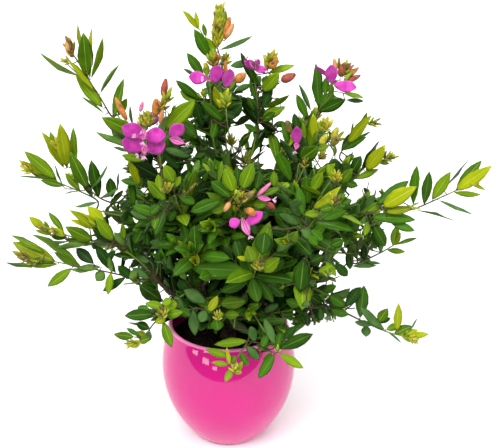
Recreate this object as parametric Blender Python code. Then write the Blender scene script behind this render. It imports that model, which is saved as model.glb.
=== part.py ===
"""Potted myrtle-leaf milkwort: a flowering shrub in a rounded, glossy pink pot.

Units are metres with +Z up. The origin is the centre of the pot's flat underside, and the shrub's
near side faces -Y. Each mass of foliage is one shoot with its side twigs, leaves and flowers.
"""

import math
import random

import bmesh
import bpy
import numpy as np

MM = 0.001
GAP = 0.3 * MM
UP = np.array([0.0, 0.0, 1.0])
GOLDEN_ANGLE = math.radians(137.5)
REFINED = 10

# Pot: an egg-shaped shell turned about Z, widest above its middle
POT_HEIGHT = 122 * MM
POT_RIM_RADIUS = 57 * MM
POT_BELLY_RADIUS = 65 * MM
POT_BELLY_HEIGHT = 75.5 * MM
POT_FOOT_RADIUS = 31.5 * MM
POT_WALL = 4.2 * MM
POT_FLOOR = 6 * MM
POT_LIP = 1 * MM
POT_SIDES = 32
POT_OUTER_RINGS = 12
POT_INNER_RINGS = 7
LOWER_SWELL = 0.87
UPPER_PULL_IN = 1.8

# Potting mix, with its top below the rim
SOIL_TOP = 104 * MM
SOIL_EDGE_DROP = 3 * MM
SOIL_FLAT_RADIUS = 16 * MM
SOIL_SIDES = 16

# Trunk: a short woody stem from its flat cut on the potting mix to its fork
TRUNK_FOOT_RADIUS = 8.5 * MM
TRUNK_RADIUS = 5.4 * MM
TRUNK_TOP_RADIUS = 4.2 * MM
TRUNK_HEIGHT = 46 * MM
TRUNK_FLARE_HEIGHT = 7 * MM
TRUNK_SIDES = 10
TRUNK_LEAN = np.array([5.0, -3.0, 0.0]) * MM

# Boughs leave the trunk from its lower third up, in this order, and the last one leaves its top
BOUGHS = (
    "front", "back", "left_low", "right", "front_left", "back_right",
    "right_front", "back_left", "upper_left", "right_high", "crown",
)
FIRST_BOUGH_AT = 9.5 * MM
BOUGH_STEP = 3.7 * MM
BOUGH_RADIUS = 2.9 * MM
BOUGH_TIP_RADIUS = 2.2 * MM
BOUGH_REACH = 0.47
BOUGH_RISE = math.radians(32)
BOUGH_SIDES = 6
BOUGH_RINGS = 7
KNOB_RADIUS = 3.2 * MM
KNOB_PROFILE = ((-0.8, 0.6), (0, 1), (0.55, 0.83), (0.92, 0.38))

# Shoots: bough, tip (x, y, z in millimetres) and what the tip bears
SHOOTS = {
    "top_spike": ("crown", (-5, 20, 420), "spike"),
    "top_flower": ("crown", (-15, -20, 385), "flower"),
    "upper_centre": ("crown", (0, -55, 360), "bud"),
    "upper_right_flower": ("crown", (35, 25, 375), "flower"),
    "rear_top": ("crown", (35, 85, 350), "flower"),
    "upper_left": ("upper_left", (-130, 10, 395), "bud"),
    "left_flower": ("upper_left", (-65, -40, 340), "flowers"),
    "left_high": ("upper_left", (-145, -10, 315), "bud"),
    "left_high_outer": ("upper_left", (-185, -20, 290), "leaf"),
    "left_middle": ("left_low", (-155, -50, 250), "leaf"),
    "left_low": ("left_low", (-190, -65, 225), "bud"),
    "left_lower": ("left_low", (-100, -60, 190), "leaf"),
    "left_centre": ("front_left", (-45, -105, 305), "flower"),
    "front_low_left": ("front_left", (-25, -125, 245), "leaf"),
    "front_left": ("front_left", (-55, -120, 200), "bud"),
    "front_left_hanging": ("front_left", (-85, -120, 170), "leaf"),
    "centre_flower": ("front", (10, -110, 295), "flowers"),
    "front_centre": ("front", (30, -135, 250), "bud"),
    "rim_left": ("front", (-10, -90, 180), "leaf"),
    "rim_hanging": ("front", (5, -90, 130), "leaf"),
    "front_right": ("front", (45, -95, 145), "bud"),
    "right_centre": ("right_front", (95, -60, 295), "bud"),
    "right_front": ("right_front", (85, -125, 300), "bud"),
    "front_low_right": ("right_front", (75, -125, 235), "leaf"),
    "lower_right": ("right_front", (110, -85, 185), "leaf"),
    "right_lowest": ("right_front", (170, -100, 160), "leaf"),
    "right_middle": ("right", (150, 0, 290), "leaf"),
    "right_yellow": ("right", (150, -50, 280), "bud"),
    "right_long": ("right", (230, -20, 285), "leaf"),
    "right_small": ("right", (170, -15, 215), "leaf"),
    "right_flower": ("right_high", (100, 10, 365), "flowers"),
    "right_bud": ("right_high", (85, -40, 330), "bud"),
    "right_high": ("right_high", (140, 25, 320), "bud"),
    "right_inner_flower": ("right_high", (60, 0, 315), "flower"),
    "back_right_high": ("back_right", (90, 105, 305), "flowers"),
    "back_right_middle": ("back_right", (100, 155, 240), "bud"),
    "back_right_low": ("back_right", (150, 100, 195), "leaf"),
    "back_high": ("back", (0, 130, 320), "flowers"),
    "back_middle": ("back", (15, 170, 225), "bud"),
    "back_hanging_left": ("back", (-40, 115, 150), "leaf"),
    "back_hanging_right": ("back", (65, 115, 155), "leaf"),
    "back_left_high": ("back_left", (-90, 105, 295), "flower"),
    "back_left_middle": ("back_left", (-75, 155, 230), "bud"),
    "back_left_low": ("back_left", (-130, 95, 195), "leaf"),
}

# Stems: shoots fan apart at their bough's tip, and turn down when low and up when high
FAN_APART = math.radians(54)
FAN_BACK = math.radians(84)
STEM_RADIUS = 1.3 * MM
STEM_TIP_RADIUS = 0.9 * MM
STEM_POINTS = 5
LEAVES_BEYOND_STEM = 27 * MM
HANGING_HEIGHT = 130 * MM
UPRIGHT_HEIGHT = 385 * MM
HANGING_RISE = math.radians(-15)
UPRIGHT_RISE = math.radians(80)

# Side twigs and leaves
TWIG_RADIUS = 0.9 * MM
TWIG_TIP_RADIUS = 0.7 * MM
TWIG_LENGTH = 38 * MM
TWIG_ANGLE = math.radians(48)
TWIG_LEAVES = 3
TWIG_TRIES = 5
LEAVES = 10
LEAF_LENGTH = 56 * MM
LEAF_SLIMNESS = 0.44
LEAF_THICKNESS = 1.8 * MM
TIP_LEAF_LENGTH = 38 * MM
TIP_LEAF_SLIMNESS = 0.38
TIP_LEAVES = 3
LEAF_STEP = 10 * MM
FIRST_LEAF_BACK = 18 * MM
TWIGS_BACK = (38 * MM, 70 * MM)
TIP_LEAF_ANGLE = math.radians(30)
LOW_LEAF_ANGLE = math.radians(74)
WIDEST_AT = 0.48
THICKEST_AT = 0.3
ROOT_DEPTH = 0.4 * MM
CLEARANCE = 0.7 * MM

# Flowers: two broad wings, and small buds near a tip
WING = (19 * MM, 17 * MM, 1.0 * MM)
BUD = (9 * MM, 5 * MM, 3.6 * MM)
WING_SPREAD = math.radians(34)
FLOWERS_OF = {"flower": 1, "flowers": 2, "spike": 0, "bud": 0, "leaf": 0}
BUDS_OF = {"flower": 1, "flowers": 0, "spike": 2, "bud": 1, "leaf": 0}


def clear_scene():
    """Removes every object that the file opened with."""
    for thing in list(bpy.data.objects):
        bpy.data.objects.remove(thing, do_unlink=True)


def material(name, colour, roughness):
    """A Principled material in a linear colour."""
    made = bpy.data.materials.new(name)
    made.use_nodes = True
    shader = made.node_tree.nodes["Principled BSDF"]
    shader.inputs["Base Color"].default_value = (*colour, 1)
    shader.inputs["Roughness"].default_value = roughness
    shader.inputs["Metallic"].default_value = 0
    return made


def unit(vector):
    return vector / np.linalg.norm(vector)


def lerp(first, last, share):
    return first + (last - first) * share


def turned_about(vector, axis, angle):
    """The vector turned about a unit axis."""
    along = axis * np.dot(axis, vector)
    return along + (vector - along) * math.cos(angle) + np.cross(axis, vector) * math.sin(angle)


def square_to(direction):
    """A unit vector square to the direction, as level as it can be."""
    level = np.cross(direction, UP)
    if np.linalg.norm(level) < 0.05:
        level = np.array([1.0, 0.0, 0.0]) - direction * direction[0]
    return unit(level)


def bezier(start, start_way, end, end_way, count):
    """Points along a curve that leaves and arrives in the given ways."""
    pull = np.linalg.norm(end - start) / 3
    near = start + start_way * pull
    far = end - end_way * pull
    share = np.linspace(0, 1, count)[:, None]
    rest = 1 - share
    return (
        rest**3 * start + 3 * rest**2 * share * near + 3 * rest * share**2 * far + share**3 * end
    )


def refined(path):
    """The path with points put between its own, straight from each to the next."""
    share = np.linspace(0, len(path) - 1, REFINED * (len(path) - 1) + 1)
    return np.stack([np.interp(share, range(len(path)), path[:, k]) for k in range(3)], axis=1)


def add_object(name, bm, materials, smooth):
    """The bmesh as a named object with its faces pointing out."""
    bmesh.ops.recalc_face_normals(bm, faces=bm.faces)
    mesh = bpy.data.meshes.new(name)
    bm.to_mesh(mesh)
    bm.free()
    for each in materials:
        mesh.materials.append(each)
    if smooth:
        mesh.shade_smooth()
        mesh.set_sharp_from_angle(angle=math.radians(50))
    thing = bpy.data.objects.new(name, mesh)
    bpy.context.scene.collection.objects.link(thing)
    return thing


def turned_shape(name, profile, sides, made_of):
    """A solid turned about Z from (radius, height) points that start and end on the axis."""
    bm = bmesh.new()
    corners = [bm.verts.new((radius, 0, height)) for radius, height in profile]
    edges = [bm.edges.new(pair) for pair in zip(corners, corners[1:])]
    bmesh.ops.spin(
        bm, geom=corners + edges, cent=(0, 0, 0), axis=(0, 0, 1),
        angle=math.tau, steps=sides, use_merge=True,
    )
    bmesh.ops.remove_doubles(bm, verts=bm.verts, dist=1e-6)
    return add_object(name, bm, [made_of], smooth=True)


def pot_radius(height):
    """Outer radius of the pot: a sine swell up to the belly, then a slow pull-in to the rim."""
    if height < POT_BELLY_HEIGHT:
        share = (max(height, 0) / POT_BELLY_HEIGHT) ** LOWER_SWELL
        return lerp(POT_FOOT_RADIUS, POT_BELLY_RADIUS, math.sin(math.pi / 2 * share))
    share = (height - POT_BELLY_HEIGHT) / (POT_HEIGHT - POT_BELLY_HEIGHT)
    return lerp(POT_BELLY_RADIUS, POT_RIM_RADIUS, share**UPPER_PULL_IN)


def pot_inside():
    """The inner wall's (radius, height) points, from the floor up to just under the lip."""
    heights = np.linspace(POT_FLOOR, POT_HEIGHT - POT_LIP, POT_INNER_RINGS)
    return [(pot_radius(z) - POT_WALL, z) for z in heights]


def make_pot(glaze):
    """The glazed shell, with a rounded lip and a flat underside."""
    heights = np.linspace(0, POT_HEIGHT - POT_LIP, POT_OUTER_RINGS)
    outer = [(pot_radius(z), z) for z in heights]
    lip = [(POT_RIM_RADIUS - inset, POT_HEIGHT) for inset in (POT_LIP, POT_WALL - POT_LIP)]
    inner = pot_inside()[::-1]
    return turned_shape(
        "pot", [(0, 0), *outer, *lip, *inner, (0, POT_FLOOR)], POT_SIDES, glaze
    )


def make_soil(mix):
    """The potting mix that fills the pot up to a little under its rim."""
    edge = SOIL_TOP - SOIL_EDGE_DROP
    inside = pot_inside()
    low = POT_FLOOR + GAP
    heights = [low, *[z for _, z in inside[1:] if z < edge], edge]
    radii = np.interp(heights, [z for _, z in inside], [radius for radius, _ in inside])
    wall = [(radius - 1.3 * GAP, z) for radius, z in zip(radii, heights)]
    top = [(SOIL_FLAT_RADIUS, SOIL_TOP), (0, SOIL_TOP)]
    return turned_shape("soil", [(0, low), *wall, *top], SOIL_SIDES, mix)


def add_tube(bm, points, radii, sides):
    """A closed tapering tube through the points, its rings square to its path."""
    tangents = np.gradient(points, axis=0)
    side = square_to(unit(tangents[0]))
    rings = []
    for point, tangent, radius in zip(points, tangents, radii):
        way = unit(tangent)
        side = unit(side - way * np.dot(side, way))
        ring = [
            bm.verts.new(point + radius * turned_about(side, way, math.tau * k / sides))
            for k in range(sides)
        ]
        rings.append(ring)
    for lower, upper in zip(rings, rings[1:]):
        for k in range(sides):
            nxt = (k + 1) % sides
            bm.faces.new((lower[k], lower[nxt], upper[nxt], upper[k]))
    bm.faces.new(rings[0][::-1])
    bm.faces.new(rings[-1])


def trunk_point(height):
    """The trunk's axis at a height above its cut: it leans more the higher it is."""
    return np.array([0, 0, SOIL_TOP + GAP + height]) + TRUNK_LEAN * (height / TRUNK_HEIGHT) ** 1.5


def trunk_radius(height):
    """The trunk's radius: a root flare that dies away, on an even taper."""
    taper = lerp(TRUNK_RADIUS, TRUNK_TOP_RADIUS, height / TRUNK_HEIGHT)
    flare = (TRUNK_FOOT_RADIUS - TRUNK_RADIUS) * math.exp(-height / TRUNK_FLARE_HEIGHT)
    return taper + flare


def make_trunk(bark):
    heights = [0, 2 * MM, 5 * MM, 10 * MM, 20 * MM, 32 * MM, 44 * MM, TRUNK_HEIGHT]
    radii = [trunk_radius(height) for height in heights]
    radii[-1] *= 0.6
    bm = bmesh.new()
    add_tube(bm, np.array([trunk_point(height) for height in heights]), radii, TRUNK_SIDES)
    return add_object("trunk", bm, [bark], smooth=True)


def bough_paths():
    """Each bough's points, from beside the trunk to the middle of its shoots' way."""
    fork = trunk_point(TRUNK_HEIGHT)
    paths = {}
    for order, name in enumerate(BOUGHS):
        tips = [np.array(tip) * MM for bough, tip, _ in SHOOTS.values() if bough == name]
        end = lerp(fork, np.mean(tips, axis=0), BOUGH_REACH)
        if name == BOUGHS[-1]:
            start_way = unit(fork - trunk_point(TRUNK_HEIGHT - 2 * MM))
            start = fork + start_way * 1.3 * GAP
        else:
            height = FIRST_BOUGH_AT + order * BOUGH_STEP
            heading = end - trunk_point(height)
            level = unit(heading * [1, 1, 0])
            start_way = level * math.cos(BOUGH_RISE) + UP * math.sin(BOUGH_RISE)
            clear = trunk_radius(height) + GAP + BOUGH_RADIUS * math.sin(BOUGH_RISE)
            start = trunk_point(height) + level * clear
        end_way = unit(unit(end - start) + 0.35 * UP)
        paths[name] = bezier(start, start_way, end, end_way, BOUGH_RINGS)
    return paths


def make_bough(name, path, bark):
    """One tapering limb that ends in a rounded knob, where its shoots stand round it."""
    way = unit(path[-1] - path[-2])
    knob = [path[-1] + way * KNOB_RADIUS * share for share, _ in KNOB_PROFILE]
    body = [point for point in path if np.linalg.norm(point - path[-1]) > 2.2 * KNOB_RADIUS]
    radii = list(np.linspace(BOUGH_RADIUS, BOUGH_TIP_RADIUS, len(body)))
    radii += [KNOB_RADIUS * share for _, share in KNOB_PROFILE]
    bm = bmesh.new()
    add_tube(bm, np.array(body + knob), radii, BOUGH_SIDES)
    return add_object(f"bough_{name}", bm, [bark], smooth=True)


def fan_out(ways, back):
    """The ways turned apart, and away from the bough behind them, until each has its room."""
    ways = [unit(way) for way in ways]
    for _ in range(200):
        pushes = [np.zeros(3) for _ in ways]
        for i, way in enumerate(ways):
            rivals = [(other, FAN_APART) for k, other in enumerate(ways) if k != i]
            for other, room in [*rivals, (back, FAN_BACK)]:
                lack = room - math.acos(np.clip(np.dot(way, other), -1, 1))
                if lack > 0:
                    pushes[i] += unit(way - other + 1e-6) * lack * 0.3
        ways = [unit(way + push) for way, push in zip(ways, pushes)]
    return ways


def cut_back(path, inset, count):
    """The path without its last stretch, so that the leaves round its end reach where it ended."""
    steps = np.linalg.norm(np.diff(path, axis=0), axis=1)
    run = np.concatenate([[0], np.cumsum(steps)])
    wanted = np.linspace(0, run[-1] - inset, count)
    return np.stack([np.interp(wanted, run, path[:, k]) for k in range(3)], axis=1)


def stem_curves(paths):
    """Each shoot's stem, from beside its bough's tip to a leaf's reach short of the shoot's tip."""
    curves = {}
    for name, path in paths.items():
        knob = path[-1]
        shoots = [shoot for shoot, (bough, _, _) in SHOOTS.items() if bough == name]
        tips = [np.array(SHOOTS[shoot][1]) * MM for shoot in shoots]
        ways = fan_out([tip - knob for tip in tips], unit(path[-2] - knob))
        for shoot, tip, way in zip(shoots, tips, ways):
            share = np.clip((tip[2] - HANGING_HEIGHT) / (UPRIGHT_HEIGHT - HANGING_HEIGHT), 0, 1)
            rise = lerp(HANGING_RISE, UPRIGHT_RISE, share)
            level = unit((tip - knob) * [1, 1, 0] + tip * [0.5, 0.5, 0])
            end_way = level * math.cos(rise) + UP * math.sin(rise)
            start = knob + way * (KNOB_RADIUS + GAP)
            whole = bezier(start, way, tip, end_way, 4 * STEM_POINTS + 1)
            curves[shoot] = cut_back(whole, LEAVES_BEYOND_STEM, STEM_POINTS)
    return curves


class Spaces:
    """The room of each mass: the points nearer its own stem than any other's, clear of the limbs."""

    def __init__(self, curves, paths):
        stems = {name: refined(curve) for name, curve in curves.items()}
        self.owners = np.concatenate([[name] * len(stem) for name, stem in stems.items()])
        self.points = np.concatenate(list(stems.values()))
        fine = [refined(path) for path in paths.values()]
        trunk = [trunk_point(height) for height in np.linspace(0, TRUNK_HEIGHT, 24)]
        self.limbs = np.concatenate([*fine, trunk])
        sizes = [np.full(len(path), KNOB_RADIUS) for path in fine]
        self.sizes = np.concatenate([*sizes, np.full(len(trunk), TRUNK_FOOT_RADIUS)])

    def hold(self, owner, points):
        """Whether every point is in the owner's room and outside the limbs, the pot and its mix."""
        points = np.asarray(points)
        away = np.linalg.norm(points[:, None] - self.points[None], axis=2)
        own = self.owners == owner
        if (away[:, ~own].min(axis=1) - away[:, own].min(axis=1) < 2 * CLEARANCE).any():
            return False
        from_limbs = np.linalg.norm(points[:, None] - self.limbs[None], axis=2) - self.sizes
        if (from_limbs < CLEARANCE).any():
            return False
        return not any(in_pot(point) for point in points)


def in_pot(point):
    radius = math.hypot(point[0], point[1])
    margin = 2 * MM
    return point[2] < POT_HEIGHT + margin and radius < pot_radius(point[2]) + margin


class Mass:
    """One shoot: a stem with the twigs, leaves, flowers and buds that are fused to it."""

    def __init__(self, name, curve, spaces, palette):
        self.name = name
        self.stem = curve
        self.curve = refined(curve)
        self.spaces = spaces
        self.palette = palette
        self.random = random.Random(name)
        self.turn = self.random.uniform(0, math.tau)
        self.leaves = 0
        self.pieces = []

    def at(self, back):
        """The stem's point and way at a distance back from its tip."""
        steps = np.linalg.norm(np.diff(self.curve, axis=0), axis=1)
        from_tip = np.concatenate([[0], np.cumsum(steps[::-1])])[::-1]
        k = int(np.argmin(abs(from_tip - back)))
        ahead = self.curve[min(k + 1, len(self.curve) - 1)]
        return self.curve[k], unit(ahead - self.curve[max(k - 1, 0)])

    def length(self):
        return np.linalg.norm(np.diff(self.curve, axis=0), axis=1).sum()

    def add(self, bm, kind):
        name = f"{self.name}_{len(self.pieces)}"
        thing = add_object(name, bm, [self.palette[kind]], smooth=False)
        self.pieces.append(thing)

    def add_blade(self, root, along, normal, size, kind):
        """A leaf, petal or bud as the hull of six points, where its outline keeps to the room."""
        length, width, thickness = size
        across = np.cross(along, normal)
        middle = root + along * length * WIDEST_AT
        tip = root + along * length
        sides = [middle + across * width / 2, middle - across * width / 2]
        rows = [lerp(root, tip, share) for share in (0.25, 0.5, 0.75)]
        rows += [lerp(end, side, share) for end in (root, tip) for side in sides
                 for share in (0.4, 0.7)]
        if not self.spaces.hold(self.name, [*rows, *sides, tip]):
            return False
        belly = root + along * length * THICKEST_AT
        faces = [belly + normal * thickness / 2, belly - normal * thickness / 2]
        bm = bmesh.new()
        for corner in (root - along * ROOT_DEPTH, *sides, *faces, tip):
            bm.verts.new(corner)
        bmesh.ops.convex_hull(bm, input=bm.verts)
        self.add(bm, kind)
        return True

    def add_leaf(self, root, way, turn, angle, length, slimness):
        """A leaf at an angle to its twig, shorter where the whole one has no room."""
        if self.leaves >= LEAVES:
            return False
        out = turned_about(square_to(way), way, turn)
        along = way * math.cos(angle) + out * math.sin(angle)
        normal = unit(way - along * np.dot(way, along))
        for share in (1.0, 0.85, 0.7, 0.55):
            size = (length * share, length * share * slimness, LEAF_THICKNESS)
            if self.add_blade(root, along, normal, size, "leaf"):
                self.leaves += 1
                return True
        return False

    def add_flower(self, root, way, turn):
        """A pair of broad wings that stand open."""
        out = turned_about(square_to(way), way, turn)
        side = np.cross(way, out)
        for way_round in (-1, 1):
            along = unit(way * 0.35 + out * 0.9 + side * way_round * math.sin(WING_SPREAD))
            normal = unit(side - along * np.dot(side, along)) * way_round
            self.add_blade(root, along, normal, WING, "petal")

    def add_stem(self):
        bm = bmesh.new()
        add_tube(bm, self.stem, np.linspace(STEM_RADIUS, STEM_TIP_RADIUS, STEM_POINTS), 3)
        self.add(bm, "twig")

    def add_tip(self, kind):
        """The flowers and buds, then the cup of young leaves round the stem's tip."""
        for k in range(FLOWERS_OF[kind]):
            point, way = self.at((4 + 10 * k) * MM)
            self.add_flower(point, way, self.turn + 2.4 * k)
        for k in range(BUDS_OF[kind]):
            point, way = self.at((2 + 4.5 * k) * MM)
            out = turned_about(square_to(way), way, self.turn + 1 + k * GOLDEN_ANGLE)
            along = unit(way + out * (0.35 + 0.25 * k))
            self.add_blade(point, along, unit(out - along * np.dot(out, along)), BUD, "bud")
        for k in range(TIP_LEAVES):
            point, way = self.at((2 + 2.2 * k) * MM)
            self.add_leaf(
                point, way, self.turn + k * GOLDEN_ANGLE,
                TIP_LEAF_ANGLE * (1 + 0.3 * k), TIP_LEAF_LENGTH * (1 + 0.06 * k), TIP_LEAF_SLIMNESS,
            )

    def add_side_twigs(self):
        """Twigs that leave the stem by the golden angle and end in a whorl of leaves."""
        for back in TWIGS_BACK:
            if back > self.length() - 10 * MM:
                return
            root, way = self.at(back)
            length = TWIG_LENGTH * self.random.uniform(0.8, 1.1)
            for k in range(TWIG_TRIES):
                out = turned_about(square_to(way), way, self.turn + 1 + k * GOLDEN_ANGLE)
                along = way * math.cos(TWIG_ANGLE) + out * math.sin(TWIG_ANGLE)
                path = [root, root + along * length]
                if self.spaces.hold(self.name, [lerp(*path, 0.5), path[1]]):
                    self.add_side_twig(np.array(path))
                    break

    def add_side_twig(self, path):
        bm = bmesh.new()
        add_tube(bm, path, [TWIG_RADIUS, TWIG_TIP_RADIUS], 3)
        self.add(bm, "twig")
        way = unit(path[-1] - path[-2])
        for k in range(TWIG_LEAVES):
            root = path[-1] - way * (1.5 + 5 * k) * MM
            self.add_leaf(
                root, way, self.turn + k * GOLDEN_ANGLE,
                TIP_LEAF_ANGLE * (1.2 + 0.4 * k), LEAF_LENGTH * 0.85, LEAF_SLIMNESS,
            )

    def add_stem_leaves(self):
        """Leaves spiralling down the stem, spreading wider the lower they stand."""
        back = FIRST_LEAF_BACK
        step = 0
        while self.leaves < LEAVES and back < self.length() - 6 * MM:
            point, way = self.at(back)
            share = min(back / (80 * MM), 1)
            self.add_leaf(
                point, way, self.turn + (step + TIP_LEAVES) * GOLDEN_ANGLE,
                lerp(TIP_LEAF_ANGLE * 1.6, LOW_LEAF_ANGLE, share), LEAF_LENGTH, LEAF_SLIMNESS,
            )
            step += 1
            back += LEAF_STEP

    def fuse(self):
        """Joins the stem with everything on it by one Boolean union, and drops loose scraps."""
        stem = self.pieces[0]
        stem.name = self.name
        stem.data.name = self.name
        others = bpy.data.collections.new(f"{self.name}_pieces")
        for piece in self.pieces[1:]:
            bpy.context.scene.collection.objects.unlink(piece)
            others.objects.link(piece)
        bpy.context.scene.collection.children.link(others)
        union = stem.modifiers.new("Fused leaves", "BOOLEAN")
        union.operation = "UNION"
        union.operand_type = "COLLECTION"
        union.collection = others
        union.solver = "EXACT"
        union.material_mode = "TRANSFER"
        fused = bpy.data.meshes.new_from_object(
            stem.evaluated_get(bpy.context.evaluated_depsgraph_get())
        )
        stem.modifiers.clear()
        stem.data = fused
        fused.name = self.name
        for piece in list(others.objects):
            bpy.data.objects.remove(piece, do_unlink=True)
        bpy.data.collections.remove(others)
        keep_largest_body(fused)


def keep_largest_body(mesh):
    """Deletes all but the largest joined set of faces, which also fills any sealed hollow."""
    bm = bmesh.new()
    bm.from_mesh(mesh)
    left = set(bm.faces)
    bodies = []
    while left:
        front = [left.pop()]
        body = set(front)
        while front:
            face = front.pop()
            beside = {other for edge in face.edges for other in edge.link_faces}
            fresh = beside & left
            left -= fresh
            body |= fresh
            front.extend(fresh)
        bodies.append(body)
    largest = max(bodies, key=len)
    scraps = [face for body in bodies if body is not largest for face in body]
    bmesh.ops.delete(bm, geom=scraps, context="FACES")
    bmesh.ops.triangulate(bm, faces=bm.faces)
    bm.to_mesh(mesh)
    bm.free()


def make_masses(paths, palette):
    """Every shoot's mass of foliage, each in the room round its own stem."""
    curves = stem_curves(paths)
    spaces = Spaces(curves, paths)
    for name, (_, _, kind) in SHOOTS.items():
        mass = Mass(name, curves[name], spaces, palette)
        mass.add_stem()
        mass.add_tip(kind)
        mass.add_side_twigs()
        mass.add_stem_leaves()
        mass.fuse()


def main():
    clear_scene()
    bark = material("bark", (0.14, 0.10, 0.06), 0.85)
    palette = {
        "twig": material("green_twig", (0.16, 0.17, 0.06), 0.7),
        "leaf": material("leaf", (0.08, 0.22, 0.02), 0.45),
        "petal": material("petal", (0.72, 0.03, 0.58), 0.6),
        "bud": material("bud", (0.52, 0.48, 0.06), 0.6),
    }
    make_pot(material("pink_glaze", (0.90, 0.08, 0.36), 0.12))
    make_soil(material("potting_mix", (0.02, 0.013, 0.008), 0.95))
    make_trunk(bark)
    paths = bough_paths()
    for name, path in paths.items():
        make_bough(name, path, bark)
    make_masses(paths, palette)


main()
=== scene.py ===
"""Potted myrtle-leaf milkwort, dressed: glazed pot, potting mix, bark, twigs, leaves and flowers.

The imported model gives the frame. The limbs, stems and their reach repeat the source's values, and
finer twigs, leaves, flowers and buds grow on from them. What stands out in the photograph is marked
in tables, in its pixels, and takes its depth from the limbs of its shoot. Units are metres with +Z up.
"""

import math
import random
from functools import cache, partial

import bmesh
import bpy
import numpy as np
from mathutils import Matrix, Vector, noise
from mathutils.kdtree import KDTree


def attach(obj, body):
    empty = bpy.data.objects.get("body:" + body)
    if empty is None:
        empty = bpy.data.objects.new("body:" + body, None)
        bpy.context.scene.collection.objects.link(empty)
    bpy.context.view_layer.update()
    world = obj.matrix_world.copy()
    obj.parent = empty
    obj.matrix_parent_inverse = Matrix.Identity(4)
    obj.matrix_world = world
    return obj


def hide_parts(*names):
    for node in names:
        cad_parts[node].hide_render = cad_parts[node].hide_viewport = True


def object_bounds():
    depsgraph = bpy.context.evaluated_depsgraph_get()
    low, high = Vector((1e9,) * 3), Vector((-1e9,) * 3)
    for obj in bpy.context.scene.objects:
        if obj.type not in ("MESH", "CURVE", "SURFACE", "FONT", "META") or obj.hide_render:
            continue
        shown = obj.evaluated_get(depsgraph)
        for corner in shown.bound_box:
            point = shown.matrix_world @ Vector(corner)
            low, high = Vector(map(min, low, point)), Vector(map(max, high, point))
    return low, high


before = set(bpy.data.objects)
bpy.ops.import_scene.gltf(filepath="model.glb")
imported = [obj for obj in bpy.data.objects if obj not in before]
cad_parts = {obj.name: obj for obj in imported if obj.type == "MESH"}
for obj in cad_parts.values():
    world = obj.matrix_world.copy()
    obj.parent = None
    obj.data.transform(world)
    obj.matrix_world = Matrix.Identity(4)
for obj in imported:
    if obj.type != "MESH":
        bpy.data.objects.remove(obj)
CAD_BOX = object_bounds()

MM = 0.001
UP = np.array([0.0, 0.0, 1.0])
GOLDEN_ANGLE = math.radians(137.5)

# Pot and potting mix, as in the source, with rounder sides
POT_HEIGHT = 122 * MM
POT_RIM_RADIUS = 57 * MM
POT_BELLY_RADIUS = 65 * MM
POT_BELLY_HEIGHT = 75.5 * MM
POT_FOOT_RADIUS = 31.5 * MM
POT_WALL = 4.2 * MM
POT_FLOOR = 6 * MM
POT_SIDES = 160
LOWER_SWELL = 0.79
UPPER_PULL_IN = 1.8
SOIL_TOP = 104 * MM
SOIL_EDGE_DROP = 3 * MM
SOIL_SHOULDER = 20 * MM
SOIL_LUMP = 1.6 * MM
CRUMBS = 420
CRUMBS_REACH = 49 * MM

# Trunk and boughs, as in the source
GAP = 0.3 * MM
TRUNK_FOOT_RADIUS = 8.5 * MM
TRUNK_RADIUS = 5.4 * MM
TRUNK_TOP_RADIUS = 4.2 * MM
TRUNK_HEIGHT = 46 * MM
TRUNK_FLARE_HEIGHT = 7 * MM
TRUNK_LEAN = np.array([5.0, -3.0, 0.0]) * MM
BOUGHS = (
    "front", "back", "left_low", "right", "front_left", "back_right",
    "right_front", "back_left", "upper_left", "right_high", "crown",
)
FIRST_BOUGH_AT = 9.5 * MM
BOUGH_STEP = 3.7 * MM
BOUGH_RADIUS = 2.9 * MM
BOUGH_TIP_RADIUS = 2.2 * MM
BOUGH_REACH = 0.47
BOUGH_RISE = math.radians(32)
KNOB_RADIUS = 3.2 * MM
BARK_GRAIN = 0.75 * MM
BARK_RELIEF = 0.35 * MM

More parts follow.
